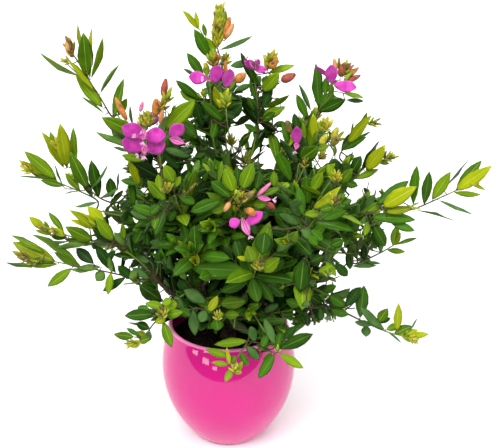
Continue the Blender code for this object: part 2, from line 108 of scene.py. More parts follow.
# Shoots, as in the source: bough, tip (x, y, z in millimetres) and what the tip bears
SHOOTS = {
    "top_spike": ("crown", (-5, 20, 420), "spike"),
    "top_flower": ("crown", (-15, -20, 385), "flower"),
    "upper_centre": ("crown", (0, -55, 360), "bud"),
    "upper_right_flower": ("crown", (35, 25, 375), "flower"),
    "rear_top": ("crown", (35, 85, 350), "flower"),
    "upper_left": ("upper_left", (-130, 10, 395), "bud"),
    "left_flower": ("upper_left", (-65, -40, 340), "flowers"),
    "left_high": ("upper_left", (-145, -10, 315), "bud"),
    "left_high_outer": ("upper_left", (-185, -20, 290), "leaf"),
    "left_middle": ("left_low", (-155, -50, 250), "leaf"),
    "left_low": ("left_low", (-190, -65, 225), "bud"),
    "left_lower": ("left_low", (-100, -60, 190), "leaf"),
    "left_centre": ("front_left", (-45, -105, 305), "flower"),
    "front_low_left": ("front_left", (-25, -125, 245), "leaf"),
    "front_left": ("front_left", (-55, -120, 200), "bud"),
    "front_left_hanging": ("front_left", (-85, -120, 170), "leaf"),
    "centre_flower": ("front", (10, -110, 295), "flowers"),
    "front_centre": ("front", (30, -135, 250), "bud"),
    "rim_left": ("front", (-10, -90, 180), "leaf"),
    "rim_hanging": ("front", (5, -90, 130), "leaf"),
    "front_right": ("front", (45, -95, 145), "bud"),
    "right_centre": ("right_front", (95, -60, 295), "bud"),
    "right_front": ("right_front", (85, -125, 300), "bud"),
    "front_low_right": ("right_front", (75, -125, 235), "leaf"),
    "lower_right": ("right_front", (110, -85, 185), "leaf"),
    "right_lowest": ("right_front", (170, -100, 160), "leaf"),
    "right_middle": ("right", (150, 0, 290), "leaf"),
    "right_yellow": ("right", (150, -50, 280), "bud"),
    "right_long": ("right", (230, -20, 285), "leaf"),
    "right_small": ("right", (170, -15, 215), "leaf"),
    "right_flower": ("right_high", (100, 10, 365), "flowers"),
    "right_bud": ("right_high", (85, -40, 330), "bud"),
    "right_high": ("right_high", (140, 25, 320), "bud"),
    "right_inner_flower": ("right_high", (60, 0, 315), "flower"),
    "back_right_high": ("back_right", (90, 105, 305), "flowers"),
    "back_right_middle": ("back_right", (100, 155, 240), "bud"),
    "back_right_low": ("back_right", (150, 100, 195), "leaf"),
    "back_high": ("back", (0, 130, 320), "flowers"),
    "back_middle": ("back", (15, 170, 225), "bud"),
    "back_hanging_left": ("back", (-40, 115, 150), "leaf"),
    "back_hanging_right": ("back", (65, 115, 155), "leaf"),
    "back_left_high": ("back_left", (-90, 105, 295), "flower"),
    "back_left_middle": ("back_left", (-75, 155, 230), "bud"),
    "back_left_low": ("back_left", (-130, 95, 195), "leaf"),
}
FAN_APART = math.radians(54)
FAN_BACK = math.radians(84)
HANGING_HEIGHT = 130 * MM
UPRIGHT_HEIGHT = 385 * MM
HANGING_RISE = math.radians(-15)
UPRIGHT_RISE = math.radians(80)

# Finer growth: twigs by their distance back from a shoot's tip, and how leaves change down a twig
TIP_INSET = {"leaf": 10 * MM, "bud": 10 * MM, "flower": 16 * MM, "flowers": 16 * MM, "spike": 20 * MM}
TWIG_ANGLE = math.radians(50)
TWIG_LENGTH = 36 * MM
TWIGS_BACK = (16, 23, 30, 38, 46, 54, 62, 71, 80, 90, 100, 111, 123, 136)
LEAVES_BACK = (
    0.8, 1.6, 2.8, 4.2, 6, 8.2, 11, 14.5, 18.5, 23, 28, 33, 38.5, 44, 50, 56, 62, 69, 76, 84, 92,
    101, 111, 122, 134,
)
LENGTH_BY_BACK = ((0, 12), (4, 21), (9, 29), (16, 36), (26, 40), (55, 37), (130, 29))
ANGLE_BY_BACK = ((0, 6), (6, 18), (13, 34), (25, 53), (50, 68), (120, 80))
LEAF_SLIMNESS = 0.4
LEAF_THICKNESS_SHARE = 0.014
OLD_BACK = 95 * MM
STEM_RADII = (1.15 * MM, 0.6 * MM)
MARKED_TWIG_RADII = (0.95 * MM, 0.5 * MM)
TWIG_RADII = (0.75 * MM, 0.45 * MM)
STALK_RADIUS = 0.45 * MM

# Habits that differ: leaf size, how far apart leaves stand, and how far back the first twig stands
HABITS = {
    "upper_left": (1.0, 1.7, 75), "left_high": (0.9, 1.4, 45), "left_high_outer": (0.72, 1.3, 50),
    "left_middle": (0.66, 1.0, 10), "left_low": (0.82, 1.6, 70), "left_lower": (0.66, 1.0, 10),
    "front_left_hanging": (0.6, 1.1, 30), "front_left": (0.8, 1.0, 24),
    "rim_hanging": (0.62, 1.0, 30), "front_right": (0.8, 1.0, 20),
    "lower_right": (0.75, 1.0, 12), "right_lowest": (0.55, 1.1, 45),
    "right_small": (0.5, 1.1, 30), "right_long": (0.95, 1.9, 80),
    "front_centre": (1.05, 1.0, 24), "rim_left": (0.9, 1.0, 20),
}
USUAL_HABIT = (0.9, 1.0, 14)
INNER_TWIGS = 24
CROWN_MIDDLE = np.array([0, 0, 225]) * MM
CROWN_REACH = 190 * MM
ROOM_STEP = 15 * MM
ROOM_REACH = 30 * MM
ROOM_ENOUGH = 4
ROOM_TWIGS = 420
FILL_ACROSS = (82, 410)
FILL_DOWN = (56, 372)
FILL_STEP = 7
FILL_ENOUGH = 7
FILL_TWIGS = 420
FILL_LENGTHS = (9 * MM, 62 * MM)
BOX_MARGIN = 2.5 * MM
POT_CLEARANCE = 3 * MM
LOWEST_ROOM = POT_HEIGHT + 30 * MM

# What the photograph shows, read off it in its pixels. A mark's depth comes from its shoot's limbs.
# Ages: t tip, y young, g grown, o old. A tip leans to the front (f), to the back (b) or neither way (m)
TWIG_MARKS = {  # each twig's points, from the stem outwards
    "upper_left": (
        ((112, 118), (104, 104), (97, 92), (88, 79), (85, 60)),
        ((97, 92), (80, 76), (66, 63)),
        ((84, 71), (75, 57), (70, 50)),
    ),
    "left_high": (
        ((118, 205), (100, 199), (88, 188), (76, 168), (67, 158)),
        ((76, 170), (66, 166)),
    ),
    "left_high_outer": (
        ((100, 201), (84, 193), (64, 185), (50, 178)),
    ),
    "left_middle": (
        ((128, 246), (108, 244), (92, 241), (78, 239), (64, 234), (48, 231)),
        ((120, 250), (112, 240), (98, 228), (88, 222)),
    ),
    "left_low": (
        ((150, 281), (125, 276), (103, 271), (78, 266), (56, 262), (40, 258)),
    ),
    "front_left_hanging": (
        ((160, 318), (153, 324), (148, 332), (140, 338)),
    ),
    "front_left": (
        ((176, 300), (166, 306), (163, 316)),
    ),
    "rim_hanging": (
        ((252, 330), (246, 346), (236, 358), (233, 369)),
    ),
    "front_right": (
        ((268, 330), (276, 344), (277, 352)),
    ),
    "top_spike": (
        ((222, 62), (217, 48), (217, 40)),
        ((214, 58), (206, 40), (198, 27)),
    ),
    "right_flower": (
        ((312, 126), (318, 112), (328, 94), (333, 84)),
    ),
    "right_high": (
        ((338, 158), (344, 147), (356, 134), (364, 126)),
    ),
    "right_middle": (
        ((344, 190), (354, 179), (364, 168), (376, 158)),
    ),
    "right_yellow": (
        ((356, 212), (372, 214), (386, 209), (400, 202)),
    ),
    "right_long": (
        ((392, 214), (415, 209), (433, 201), (455, 191), (468, 184)),
    ),
    "right_small": (
        ((352, 266), (370, 258), (384, 251), (394, 245), (400, 240)),
    ),
    "right_lowest": (
        ((336, 308), (352, 316), (366, 323), (384, 331), (397, 335), (412, 337)),
    ),
    "upper_right_flower": (
        ((258, 140), (258, 110), (256, 88), (252, 70)),
    ),
    "left_flower": (
        ((140, 150), (136, 132), (140, 126)),
    ),
}
LEAF_MARKS = {  # root, tip, width, look: its age, u where the underside shows, and its lean
    "upper_left": (
        (87, 78, 83, 31, 17, "ym"), (90, 79, 91, 26, 8, "tb"), (91, 79, 100, 36, 7, "yf"),
        (87, 66, 79, 23, 5, "tb"), (96, 92, 64, 61, 7, "tf"), (80, 76, 38, 54, 4, "yb"),
        (103, 108, 75, 74, 13, "ym"), (105, 114, 80, 98, 2, "yum"), (100, 94, 119, 64, 5, "yub"),
        (113, 119, 127, 78, 10, "ym"), (118, 116, 127, 98, 9, "yb"), (140, 136, 101, 117, 17, "yf"),
        (137, 147, 96, 130, 8, "yum"),
    ),
    "left_flower": (
        (133, 126, 129, 105, 4, "gub"), (165, 129, 195, 100, 19, "ym"), (130, 152, 113, 147, 4, "gm"),
        (143, 161, 121, 155, 8, "yf"), (140, 186, 128, 160, 9, "tf"), (142, 184, 120, 180, 8, "gb"),
        (134, 206, 130, 178, 9, "gm"), (160, 178, 133, 163, 13, "om"), (163, 148, 189, 157, 9, "guf"),
        (163, 152, 180, 170, 10, "om"),
    ),
    "left_high": (
        (67, 168, 58, 121, 15, "tf"), (76, 162, 73, 127, 8, "yb"), (64, 168, 42, 131, 11, "tm"),
        (62, 160, 50, 131, 8, "yb"), (88, 190, 70, 152, 15, "yf"), (80, 190, 65, 173, 9, "ym"),
        (63, 186, 55, 162, 3, "gub"), (99, 198, 91, 159, 13, "gm"), (93, 197, 82, 178, 8, "ob"),
        (89, 190, 112, 165, 2, "guf"), (112, 198, 110, 178, 11, "gm"), (100, 198, 120, 188, 5, "guf"),
        (118, 192, 118, 172, 2, "gub"), (110, 205, 124, 190, 6, "gm"),
    ),
    "left_high_outer": (
        (57, 180, 25, 151, 13, "yf"), (57, 181, 19, 158, 10, "tm"), (50, 182, 20, 163, 6, "tb"),
        (57, 181, 17, 175, 3, "gum"), (64, 186, 40, 180, 8, "yf"), (80, 191, 62, 194, 2, "gum"),
        (98, 202, 74, 206, 5, "gum"),
    ),
    "left_middle": (
        (46, 230, 28, 216, 9, "tf"), (50, 234, 44, 220, 5, "ym"), (64, 232, 48, 212, 7, "yb"),
        (66, 236, 50, 228, 8, "tf"), (52, 235, 35, 230, 5, "ym"), (68, 238, 50, 235, 8, "ob"),
        (93, 241, 64, 226, 14, "yf"), (92, 243, 64, 240, 8, "ym"), (70, 241, 50, 242, 3, "yub"),
        (88, 244, 55, 249, 6, "yuf"), (97, 231, 68, 210, 9, "tf"), (97, 226, 75, 211, 8, "tm"),
        (92, 229, 70, 219, 6, "tf"), (104, 222, 87, 206, 12, "tm"), (114, 241, 96, 218, 13, "yf"),
        (112, 243, 92, 228, 8, "of"), (105, 220, 86, 216, 6, "tb"), (116, 250, 104, 262, 8, "om"),
        (125, 246, 114, 232, 8, "yuf"), (124, 240, 122, 222, 7, "ym"),
    ),
    "left_low": (
        (45, 253, 10, 236, 8, "yb"), (56, 262, 12, 242, 17, "tm"), (58, 264, 28, 266, 7, "yf"),
        (40, 265, 5, 263, 5, "ym"), (40, 262, 17, 257, 7, "tf"), (28, 259, 11, 250, 6, "tf"),
        (80, 267, 33, 231, 9, "yb"), (82, 268, 54, 252, 10, "ym"), (101, 267, 77, 268, 8, "yuf"),
        (72, 268, 47, 287, 11, "yf"), (90, 271, 70, 269, 4, "yuf"), (104, 271, 96, 281, 12, "yuf"),
        (94, 264, 76, 248, 12, "ob"), (116, 273, 96, 246, 12, "om"), (112, 273, 109, 257, 7, "yuf"),
        (132, 279, 117, 265, 11, "of"), (126, 277, 103, 291, 9, "om"), (111, 272, 108, 295, 9, "yf"),
        (127, 279, 138, 271, 10, "yuf"),
    ),
    "left_lower": (
        (162, 301, 138, 284, 17, "gf"), (150, 279, 132, 268, 9, "gum"), (158, 292, 146, 270, 10, "gm"),
        (150, 262, 135, 256, 9, "gub"), (170, 296, 165, 280, 9, "guf"),
    ),
    "front_left": (
        (155, 314, 124, 316, 12, "gf"), (166, 308, 145, 303, 9, "ym"), (164, 308, 178, 303, 12, "yb"),
        (165, 316, 183, 312, 9, "yf"), (166, 318, 155, 323, 8, "tf"), (163, 321, 172, 348, 11, "yf"),
        (150, 309, 138, 307, 6, "gb"), (162, 304, 172, 300, 9, "yb"), (180, 308, 190, 316, 9, "gm"),
    ),
    "front_left_hanging": (
        (150, 329, 136, 323, 9, "gm"), (134, 337, 113, 334, 9, "yf"), (146, 337, 135, 332, 9, "tf"),
        (141, 341, 130, 347, 8, "tf"), (150, 331, 146, 343, 8, "guf"), (150, 327, 127, 324, 2, "gub"),
        (140, 336, 126, 328, 5, "gm"), (138, 342, 150, 338, 8, "ym"),
    ),
    "rim_left": (
        (209, 312, 218, 295, 9, "tf"), (219, 304, 247, 301, 14, "ym"), (224, 315, 240, 315, 10, "yf"),
        (216, 318, 218, 331, 13, "gf"), (206, 310, 200, 322, 12, "guf"), (193, 310, 195, 335, 12, "gum"),
        (228, 318, 250, 334, 10, "gum"), (207, 303, 184, 290, 14, "gum"), (184, 308, 174, 296, 9, "guf"),
        (214, 312, 205, 306, 7, "gm"),
    ),
    "rim_hanging": (
        (248, 341, 214, 345, 10, "ym"), (230, 366, 228, 346, 5, "tm"), (229, 357, 205, 349, 9, "yf"),
        (229, 365, 211, 362, 6, "yf"), (233, 368, 225, 382, 8, "yf"), (236, 372, 243, 361, 6, "tm"),
        (230, 364, 236, 356, 8, "yb"), (234, 370, 242, 373, 7, "tf"), (247, 346, 260, 360, 11, "guf"),
        (255, 342, 251, 327, 11, "guf"), (240, 352, 248, 366, 8, "gm"),
    ),
    "front_right": (
        (279, 349, 313, 334, 13, "gf"), (279, 353, 303, 368, 10, "ym"), (275, 354, 258, 379, 11, "gf"),
        (272, 352, 263, 366, 8, "gm"), (276, 346, 264, 318, 10, "gub"), (277, 348, 286, 340, 6, "gb"),
        (277, 350, 281, 332, 7, "gb"), (283, 340, 296, 326, 9, "om"), (262, 348, 268, 334, 9, "gb"),
    ),
    "front_centre": (
        (248, 271, 191, 268, 19, "gf"), (200, 296, 189, 266, 11, "gm"), (206, 294, 221, 278, 9, "gb"),
        (250, 280, 220, 292, 11, "gm"), (252, 277, 258, 303, 14, "gf"), (258, 278, 273, 302, 10, "gm"),
        (253, 262, 247, 245, 15, "yf"), (248, 260, 237, 257, 5, "tf"), (262, 271, 280, 258, 15, "yf"),
        (266, 272, 285, 259, 12, "gb"), (262, 255, 265, 232, 18, "gb"), (240, 260, 235, 240, 10, "gb"),
        (247, 292, 240, 306, 9, "gb"), (270, 285, 283, 296, 10, "gb"),
    ),
    "centre_flower": (
        (234, 193, 225, 168, 13, "ym"), (242, 190, 253, 163, 14, "ym"), (232, 198, 211, 181, 12, "gm"),
        (222, 200, 190, 212, 13, "gm"), (226, 205, 210, 212, 12, "yf"), (256, 190, 260, 171, 10, "gb"),
        (238, 187, 237, 166, 8, "gb"), (252, 205, 268, 204, 9, "yf"), (262, 195, 280, 188, 7, "ym"),
        (274, 187, 274, 171, 8, "ym"), (258, 219, 268, 213, 9, "guf"), (251, 223, 257, 236, 8, "gum"),
        (232, 206, 222, 220, 9, "gb"),
    ),
    "left_centre": (
        (174, 183, 164, 165, 12, "yf"), (166, 201, 147, 180, 12, "ym"), (184, 206, 195, 166, 13, "yf"),
        (160, 190, 158, 174, 8, "yb"), (178, 195, 196, 204, 10, "gm"), (172, 188, 181, 176, 8, "ym"),
        (160, 205, 150, 214, 10, "gf"), (176, 210, 168, 222, 10, "gf"),
    ),
    "top_flower": (
        (204, 77, 187, 53, 10, "gm"), (197, 76, 183, 69, 4, "gub"), (207, 77, 206, 62, 7, "yb"),
        (203, 101, 175, 81, 9, "gm"), (196, 101, 180, 91, 9, "yb"), (221, 110, 214, 84, 9, "tf"),
        (223, 109, 231, 92, 10, "yf"), (222, 107, 226, 90, 7, "tm"), (224, 122, 201, 101, 10, "gf"),
        (203, 128, 195, 101, 12, "om"), (212, 112, 202, 118, 9, "om"), (228, 120, 242, 104, 11, "om"),
        (206, 98, 202, 88, 5, "tf"), (222, 112, 236, 118, 9, "of"),
    ),
    "upper_right_flower": (
        (252, 62, 230, 66, 8, "gum"), (259, 88, 240, 52, 10, "gm"), (262, 92, 280, 72, 15, "yf"),
        (268, 73, 295, 65, 8, "ym"), (262, 108, 290, 96, 6, "yf"), (262, 118, 285, 107, 11, "ym"),
        (262, 110, 272, 85, 9, "ob"), (258, 122, 243, 96, 13, "om"), (258, 113, 247, 97, 9, "gf"),
        (252, 84, 235, 91, 7, "gub"), (257, 102, 250, 78, 8, "gb"), (262, 122, 275, 112, 9, "gm"),
        (258, 132, 244, 124, 7, "gm"),
    ),
    "top_spike": (
        (198, 29, 182, 10, 7, "tf"), (199, 29, 195, 11, 5, "tm"), (206, 37, 203, 23, 5, "ym"),
        (210, 59, 194, 29, 12, "gf"), (216, 55, 201, 36, 12, "ym"), (219, 50, 253, 36, 5, "gum"),
        (221, 38, 226, 10, 9, "tb"), (216, 48, 215, 24, 6, "tb"), (219, 46, 217, 28, 5, "tf"),
    ),
    "right_flower": (
        (319, 109, 315, 63, 12, "gm"), (318, 112, 347, 99, 12, "gf"), (318, 111, 333, 93, 15, "gm"),
        (343, 93, 364, 98, 6, "yf"), (346, 100, 364, 101, 5, "gum"), (325, 96, 326, 77, 8, "gb"),
        (331, 95, 331, 83, 7, "ym"), (318, 114, 304, 120, 5, "gb"),
    ),
    "right_inner_flower": (
        (307, 119, 296, 93, 9, "gm"), (311, 111, 297, 84, 6, "gub"), (314, 141, 312, 112, 10, "tf"),
        (310, 152, 314, 107, 13, "ym"), (300, 160, 318, 147, 16, "yf"), (314, 151, 330, 145, 7, "ym"),
        (300, 136, 294, 113, 9, "ob"), (298, 166, 281, 136, 9, "guf"), (292, 183, 276, 150, 13, "gm"),
        (305, 140, 303, 122, 6, "ym"), (290, 150, 282, 122, 7, "gb"),
    ),
    "right_high": (
        (356, 134, 367, 111, 6, "ym"), (347, 144, 372, 115, 12, "tf"), (341, 151, 352, 132, 7, "gb"),
        (341, 151, 367, 137, 7, "gf"), (345, 147, 372, 132, 3, "gub"), (350, 136, 354, 122, 2, "gub"),
        (366, 124, 378, 121, 4, "tm"),
    ),
    "right_middle": (
        (366, 171, 386, 143, 15, "tf"), (360, 173, 380, 141, 7, "gb"), (361, 170, 377, 139, 3, "om"),
        (355, 179, 379, 169, 8, "ym"), (376, 160, 390, 164, 6, "ym"), (352, 172, 361, 156, 11, "gm"),
    ),
    "right_yellow": (
        (382, 207, 416, 187, 17, "tf"), (376, 205, 409, 180, 11, "gb"), (385, 212, 415, 208, 9, "tf"),
        (370, 217, 416, 218, 12, "gf"), (390, 222, 415, 231, 9, "gf"), (413, 205, 418, 165, 10, "gb"),
        (374, 226, 385, 246, 13, "gm"), (366, 212, 384, 202, 9, "ym"),
    ),
    "right_long": (
        (424, 205, 429, 170, 11, "gm"), (432, 200, 451, 171, 13, "ym"), (444, 189, 468, 156, 3, "gb"),
        (456, 189, 482, 160, 11, "yb"), (455, 191, 493, 164, 14, "tf"), (470, 184, 486, 190, 4, "tm"),
        (453, 192, 481, 195, 6, "yf"), (438, 200, 475, 212, 5, "guf"), (415, 210, 458, 219, 3, "guf"),
        (456, 190, 474, 178, 8, "tm"),
    ),
    "right_small": (
        (393, 246, 397, 224, 10, "ym"), (396, 245, 401, 232, 5, "tf"), (396, 245, 418, 239, 4, "yuf"),
        (387, 250, 406, 252, 7, "yf"), (380, 253, 382, 240, 6, "guf"), (349, 246, 350, 270, 9, "om"),
        (364, 244, 364, 260, 8, "om"), (366, 262, 381, 263, 4, "guf"), (352, 266, 377, 267, 6, "gum"),
        (358, 258, 372, 262, 8, "gb"), (382, 250, 374, 226, 13, "gb"),
    ),
    "right_centre": (
        (340, 184, 353, 168, 10, "yf"), (312, 191, 323, 172, 12, "ym"), (308, 206, 306, 175, 12, "gm"),
        (322, 195, 301, 183, 6, "yf"), (332, 178, 328, 164, 7, "yb"), (345, 182, 358, 186, 8, "gm"),
        (330, 184, 322, 192, 8, "gb"),
    ),
    "right_front": (
        (313, 209, 341, 187, 9, "tf"), (335, 206, 320, 210, 8, "yf"), (304, 214, 323, 214, 8, "yf"),
        (303, 216, 298, 186, 10, "gb"), (322, 220, 347, 210, 10, "gm"), (300, 225, 279, 214, 10, "guf"),
        (336, 200, 346, 194, 7, "ym"), (341, 204, 352, 200, 7, "gm"),
    ),
    "front_low_right": (
        (301, 228, 313, 240, 10, "guf"), (311, 230, 323, 241, 9, "gm"), (304, 258, 300, 293, 19, "gf"),
        (318, 272, 332, 266, 6, "yf"), (326, 262, 336, 276, 7, "ym"), (310, 262, 324, 256, 9, "gb"),
        (330, 246, 344, 240, 10, "gm"), (318, 246, 308, 236, 8, "gm"),
    ),
    "lower_right": (
        (345, 307, 361, 287, 12, "ob"), (330, 309, 349, 315, 10, "gf"), (320, 307, 322, 321, 7, "om"),
        (307, 313, 308, 327, 7, "om"), (335, 262, 348, 277, 10, "om"), (322, 292, 336, 286, 9, "gf"),
        (345, 306, 330, 296, 12, "gf"), (310, 296, 322, 304, 11, "gm"), (300, 306, 286, 300, 10, "gf"),
    ),
    "right_lowest": (
        (397, 331, 398, 302, 9, "tm"), (394, 334, 412, 326, 11, "ym"), (408, 336, 430, 334, 7, "tf"),
        (400, 334, 418, 342, 8, "tf"), (404, 334, 418, 330, 6, "tm"), (407, 333, 418, 318, 2, "gub"),
        (385, 330, 362, 307, 8, "guf"), (378, 322, 388, 308, 11, "ym"), (376, 323, 391, 318, 6, "ob"),
        (374, 325, 355, 322, 7, "guf"), (366, 325, 366, 337, 10, "guf"), (360, 318, 364, 286, 13, "gf"),
        (386, 331, 402, 342, 2, "guf"), (386, 330, 400, 324, 8, "yb"),
    ),
}
BUD_CLUSTERS = (  # shoot, base, the way it points (across, down), buds, their length in mm, tones
    ("left_flower", (148, 127), (0, -1), 26, 10, "ylyo"),
    ("left_flower", (160, 112), (1, -3), 8, 10, "oyp"),
    ("left_flower", (165, 104), (1, -3), 5, 10, "yl"),
    ("top_flower", (213, 66), (0, -1), 16, 9, "ylro"),
    ("top_flower", (222, 66), (1, -2), 8, 9, "yol"),
    ("upper_right_flower", (268, 68), (1, -3), 14, 11, "yoly"),
    ("right_flower", (343, 76), (1, -3), 10, 10, "rolo"),
    ("right_bud", (325, 132), (0, -1), 14, 9, "yly"),
    ("right_bud", (333, 142), (1, -1), 6, 9, "ol"),
    ("left_centre", (167, 193), (0, -1), 14, 8, "lyo"),
    ("left_centre", (186, 196), (1, -3), 2, 10, "o"),
    ("centre_flower", (241, 203), (0, -1), 16, 9, "lyo"),
    ("front_centre", (258, 270), (0, -1), 20, 8, "yyol"),
    ("rim_left", (218, 320), (0, -1), 12, 7, "ly"),
    ("front_left", (163, 318), (0, -1), 14, 8, "yol"),
    ("front_left_hanging", (137, 343), (-1, 0), 10, 7, "yl"),
    ("rim_hanging", (235, 372), (0, -1), 10, 7, "yl"),
    ("front_right", (278, 352), (0, -1), 4, 5, "l"),
    ("right_centre", (336, 182), (0, -1), 14, 8, "yyl"),
    ("right_front", (334, 205), (0, -1), 10, 8, "yol"),
    ("right_high", (368, 124), (3, -1), 8, 8, "ylo"),
    ("right_middle", (383, 160), (3, -2), 12, 9, "yool"),
    ("right_lowest", (408, 337), (3, 1), 12, 7, "yl"),
    ("left_high", (60, 150), (-1, -3), 8, 9, "lyo"),
    ("left_high_outer", (33, 172), (-3, -2), 9, 8, "yrl"),
    ("left_low", (30, 258), (-3, -1), 8, 8, "lo"),
    ("left_low", (38, 262), (-3, 0), 5, 7, "lo"),
    ("left_middle", (58, 232), (-3, -1), 6, 7, "oyl"),
    ("left_middle", (48, 230), (-3, -2), 4, 7, "yo"),
    ("upper_left", (74, 56), (-1, -3), 6, 12, "oyo"),
    ("upper_left", (72, 63), (-2, -1), 5, 7, "y"),
    ("upper_centre", (226, 108), (0, -1), 8, 10, "lyl"),
    ("right_long", (470, 184), (3, -1), 3, 8, "ly"),
    ("right_inner_flower", (305, 168), (0, -1), 5, 7, "yo"),
    ("top_flower", (203, 99), (0, -1), 5, 7, "l"),
    ("front_low_right", (328, 276), (0, -1), 4, 6, "l"),
    ("right_yellow", (408, 206), (3, 0), 4, 7, "l"),
    ("left_high", (76, 180), (-1, -2), 4, 6, "yl"),
)
CLUSTER_TONES = {"y": "yellow", "l": "lime", "o": "olive", "r": "red", "p": "peach"}
SPIKE_BASE = (-8, 18, 385)
SPIKE_WAY = (0.07, 0, 1)
SPIKE_LENGTH = 30 * MM
SPIKE_RADII = (0.8 * MM, 0.5 * MM)
SPIKE_BUDS = 64
MARKED_AGES = {"t": 0.06, "y": 0.25, "g": 0.5, "o": 0.9}
LEANS = {"f": -9 * MM, "m": 0.0, "b": 9 * MM}
PIXEL = 0.9 * MM
SLIMMEST_LEAF = 0.3

# Where the photograph shows foliage that is grown and not placed, and the sky holes in it, in its pixels
PICTURE_SIZE = (497, 448)
CROWN_OUTLINE = (
    (122, 122), (160, 126), (165, 112), (180, 98), (198, 92), (206, 76), (212, 62), (222, 54), (232, 66),
    (238, 86), (250, 84), (248, 66), (262, 70), (280, 73), (282, 84), (272, 96), (290, 96), (285, 110),
    (270, 120), (278, 124), (290, 118), (300, 108), (312, 102), (318, 92), (334, 90), (346, 99),
    (336, 108), (320, 116), (320, 126), (340, 130), (344, 150), (356, 150), (364, 160), (364, 178),
    (384, 190), (392, 205), (402, 218), (388, 226), (388, 250), (372, 264), (350, 270), (346, 278),
    (334, 284), (340, 294), (362, 290), (358, 312), (348, 320), (322, 324), (308, 328), (296, 330),
    (286, 348), (270, 354), (262, 362), (246, 356), (238, 346), (250, 332), (222, 322), (216, 334),
    (206, 324), (196, 336), (186, 318), (166, 320), (150, 322), (124, 318), (140, 304), (150, 300),
    (136, 284), (124, 276), (116, 262), (108, 253), (86, 250), (80, 232), (98, 208), (120, 198),
    (128, 180), (122, 158), (128, 146), (102, 124),
)
SKY_HOLES = (  # middle and half size
    (110, 224, 5, 6), (116, 233, 5, 3), (101, 216, 3, 3), (135, 220, 3, 5), (150, 275, 5, 4),
    (160, 288, 6, 4),
    (178, 257, 3, 4), (152, 258, 3, 2), (186, 169, 4, 6), (196, 150, 4, 3),
    (212, 149, 7, 2), (232, 136, 4, 9), (244, 128, 7, 4), (270, 140, 6, 6), (267, 158, 5, 11),
    (270, 160, 6, 10), (252, 138, 5, 4), (244, 158, 4, 6), (236, 162, 4, 3), (240, 112, 4, 9),
    (246, 94, 6, 5), (325, 157, 5, 9), (353, 194, 9, 9), (307, 165, 2, 6), (284, 138, 5, 6),
    (300, 262, 5, 4), (319, 250, 5, 3),
    (318, 266, 5, 3), (340, 258, 6, 7), (321, 284, 6, 4), (344, 284, 4, 4), (205, 94, 4, 5), (145, 188, 3, 6),
    (116, 190, 4, 10), (283, 128, 4, 3), (340, 140, 3, 5), (118, 262, 6, 5), (266, 300, 3, 2),
)
HIDES_WITHIN = 6.5
TWIG_CLEARS = 5
NO_FLOWERS = ((200, 95), (345, 95), (345, 185), (200, 185))

# Camera: the photograph's place and lens
CAMERA_PLACE = (19.7 * MM, -913.5 * MM, 629.9 * MM)
CAMERA_PITCH = math.radians(24)
CAMERA_LENS = 78.2
CAMERA_SENSOR = 36
FOCAL_PIXELS = CAMERA_LENS / CAMERA_SENSOR * PICTURE_SIZE[0]

# Stage: floor, surround and lights, in metres and degrees, their power in Blender's own units
FLOOR_REACH = 12
FLOOR_BEFORE_POT = 0.36
FLOOR_TURN = math.radians(-9)
SURROUND_STRENGTH = 0.32
HIGH_LIGHTS = ((38, -22, 2.4, 42), (36, 40, 1.3, 60), (-34, 6, 1.3, 60))  # tilt, swing, power, width
SOFTBOXES = (  # place, width, height, power
    ((-1.0, -1.3, 1.9), 0.8, 0.8, 14), ((1.5, -1.0, 1.3), 0.9, 0.9, 6),
    ((0.2, 1.2, 1.9), 1.0, 1.0, 10), ((-2.0, -1.25, -0.02), 0.42, 0.14, 1.2),
    ((-1.40, -1.85, -0.10), 0.45, 0.15, 1.4), ((-0.85, -2.20, -0.22), 0.30, 0.1, 0.6),
)
LIT_PLACE = Vector((0, 0, 0.22))


# Vectors and curves

def unit(vector):
    """The vector at a length of 1."""
    return vector / np.linalg.norm(vector)


def lerp(first, last, share):
    """The value at a share of the way from the first to the last."""
    return first + (last - first) * share


def turned_about(vector, axis, angle):
    """The vector turned about a unit axis."""
    along = axis * np.dot(axis, vector)
    return along + (vector - along) * math.cos(angle) + np.cross(axis, vector) * math.sin(angle)


def square_to(direction):
    """A unit vector square to the direction, as level as it can be."""
    level = np.cross(direction, UP)
    if np.linalg.norm(level) < 0.05:
        level = np.array([1.0, 0.0, 0.0]) - direction * direction[0]
    return unit(level)


def bezier(start, start_way, end, end_way, count):
    """Points along a curve that leaves and arrives in the given ways."""
    pull = np.linalg.norm(end - start) / 3
    near = start + start_way * pull
    far = end - end_way * pull
    share = np.linspace(0, 1, count)[:, None]
    rest = 1 - share
    return (
        rest**3 * start + 3 * rest**2 * share * near + 3 * rest * share**2 * far + share**3 * end
    )


def by_table(table, back):
    """A value read between the rows of a (millimetres back, value) table."""
    return np.interp(back / MM, [row[0] for row in table], [row[1] for row in table])


# Limbs: the source's rule

def pot_radius(height):
    """Outer radius of the pot: a sine swell up to the belly, then a slow pull-in to the rim."""
    if height < POT_BELLY_HEIGHT:
        share = (max(height, 0) / POT_BELLY_HEIGHT) ** LOWER_SWELL
        return lerp(POT_FOOT_RADIUS, POT_BELLY_RADIUS, math.sin(math.pi / 2 * share))
    share = (height - POT_BELLY_HEIGHT) / (POT_HEIGHT - POT_BELLY_HEIGHT)
    return lerp(POT_BELLY_RADIUS, POT_RIM_RADIUS, share**UPPER_PULL_IN)


def trunk_point(height):
    """The trunk's axis at a height above its cut: it leans more the higher it is."""
    return np.array([0, 0, SOIL_TOP + GAP + height]) + TRUNK_LEAN * (height / TRUNK_HEIGHT) ** 1.5


def trunk_radius(height):
    """The trunk's radius: a root flare that dies away, on an even taper."""
    taper = lerp(TRUNK_RADIUS, TRUNK_TOP_RADIUS, height / TRUNK_HEIGHT)
    flare = (TRUNK_FOOT_RADIUS - TRUNK_RADIUS) * math.exp(-height / TRUNK_FLARE_HEIGHT)
    return taper + flare


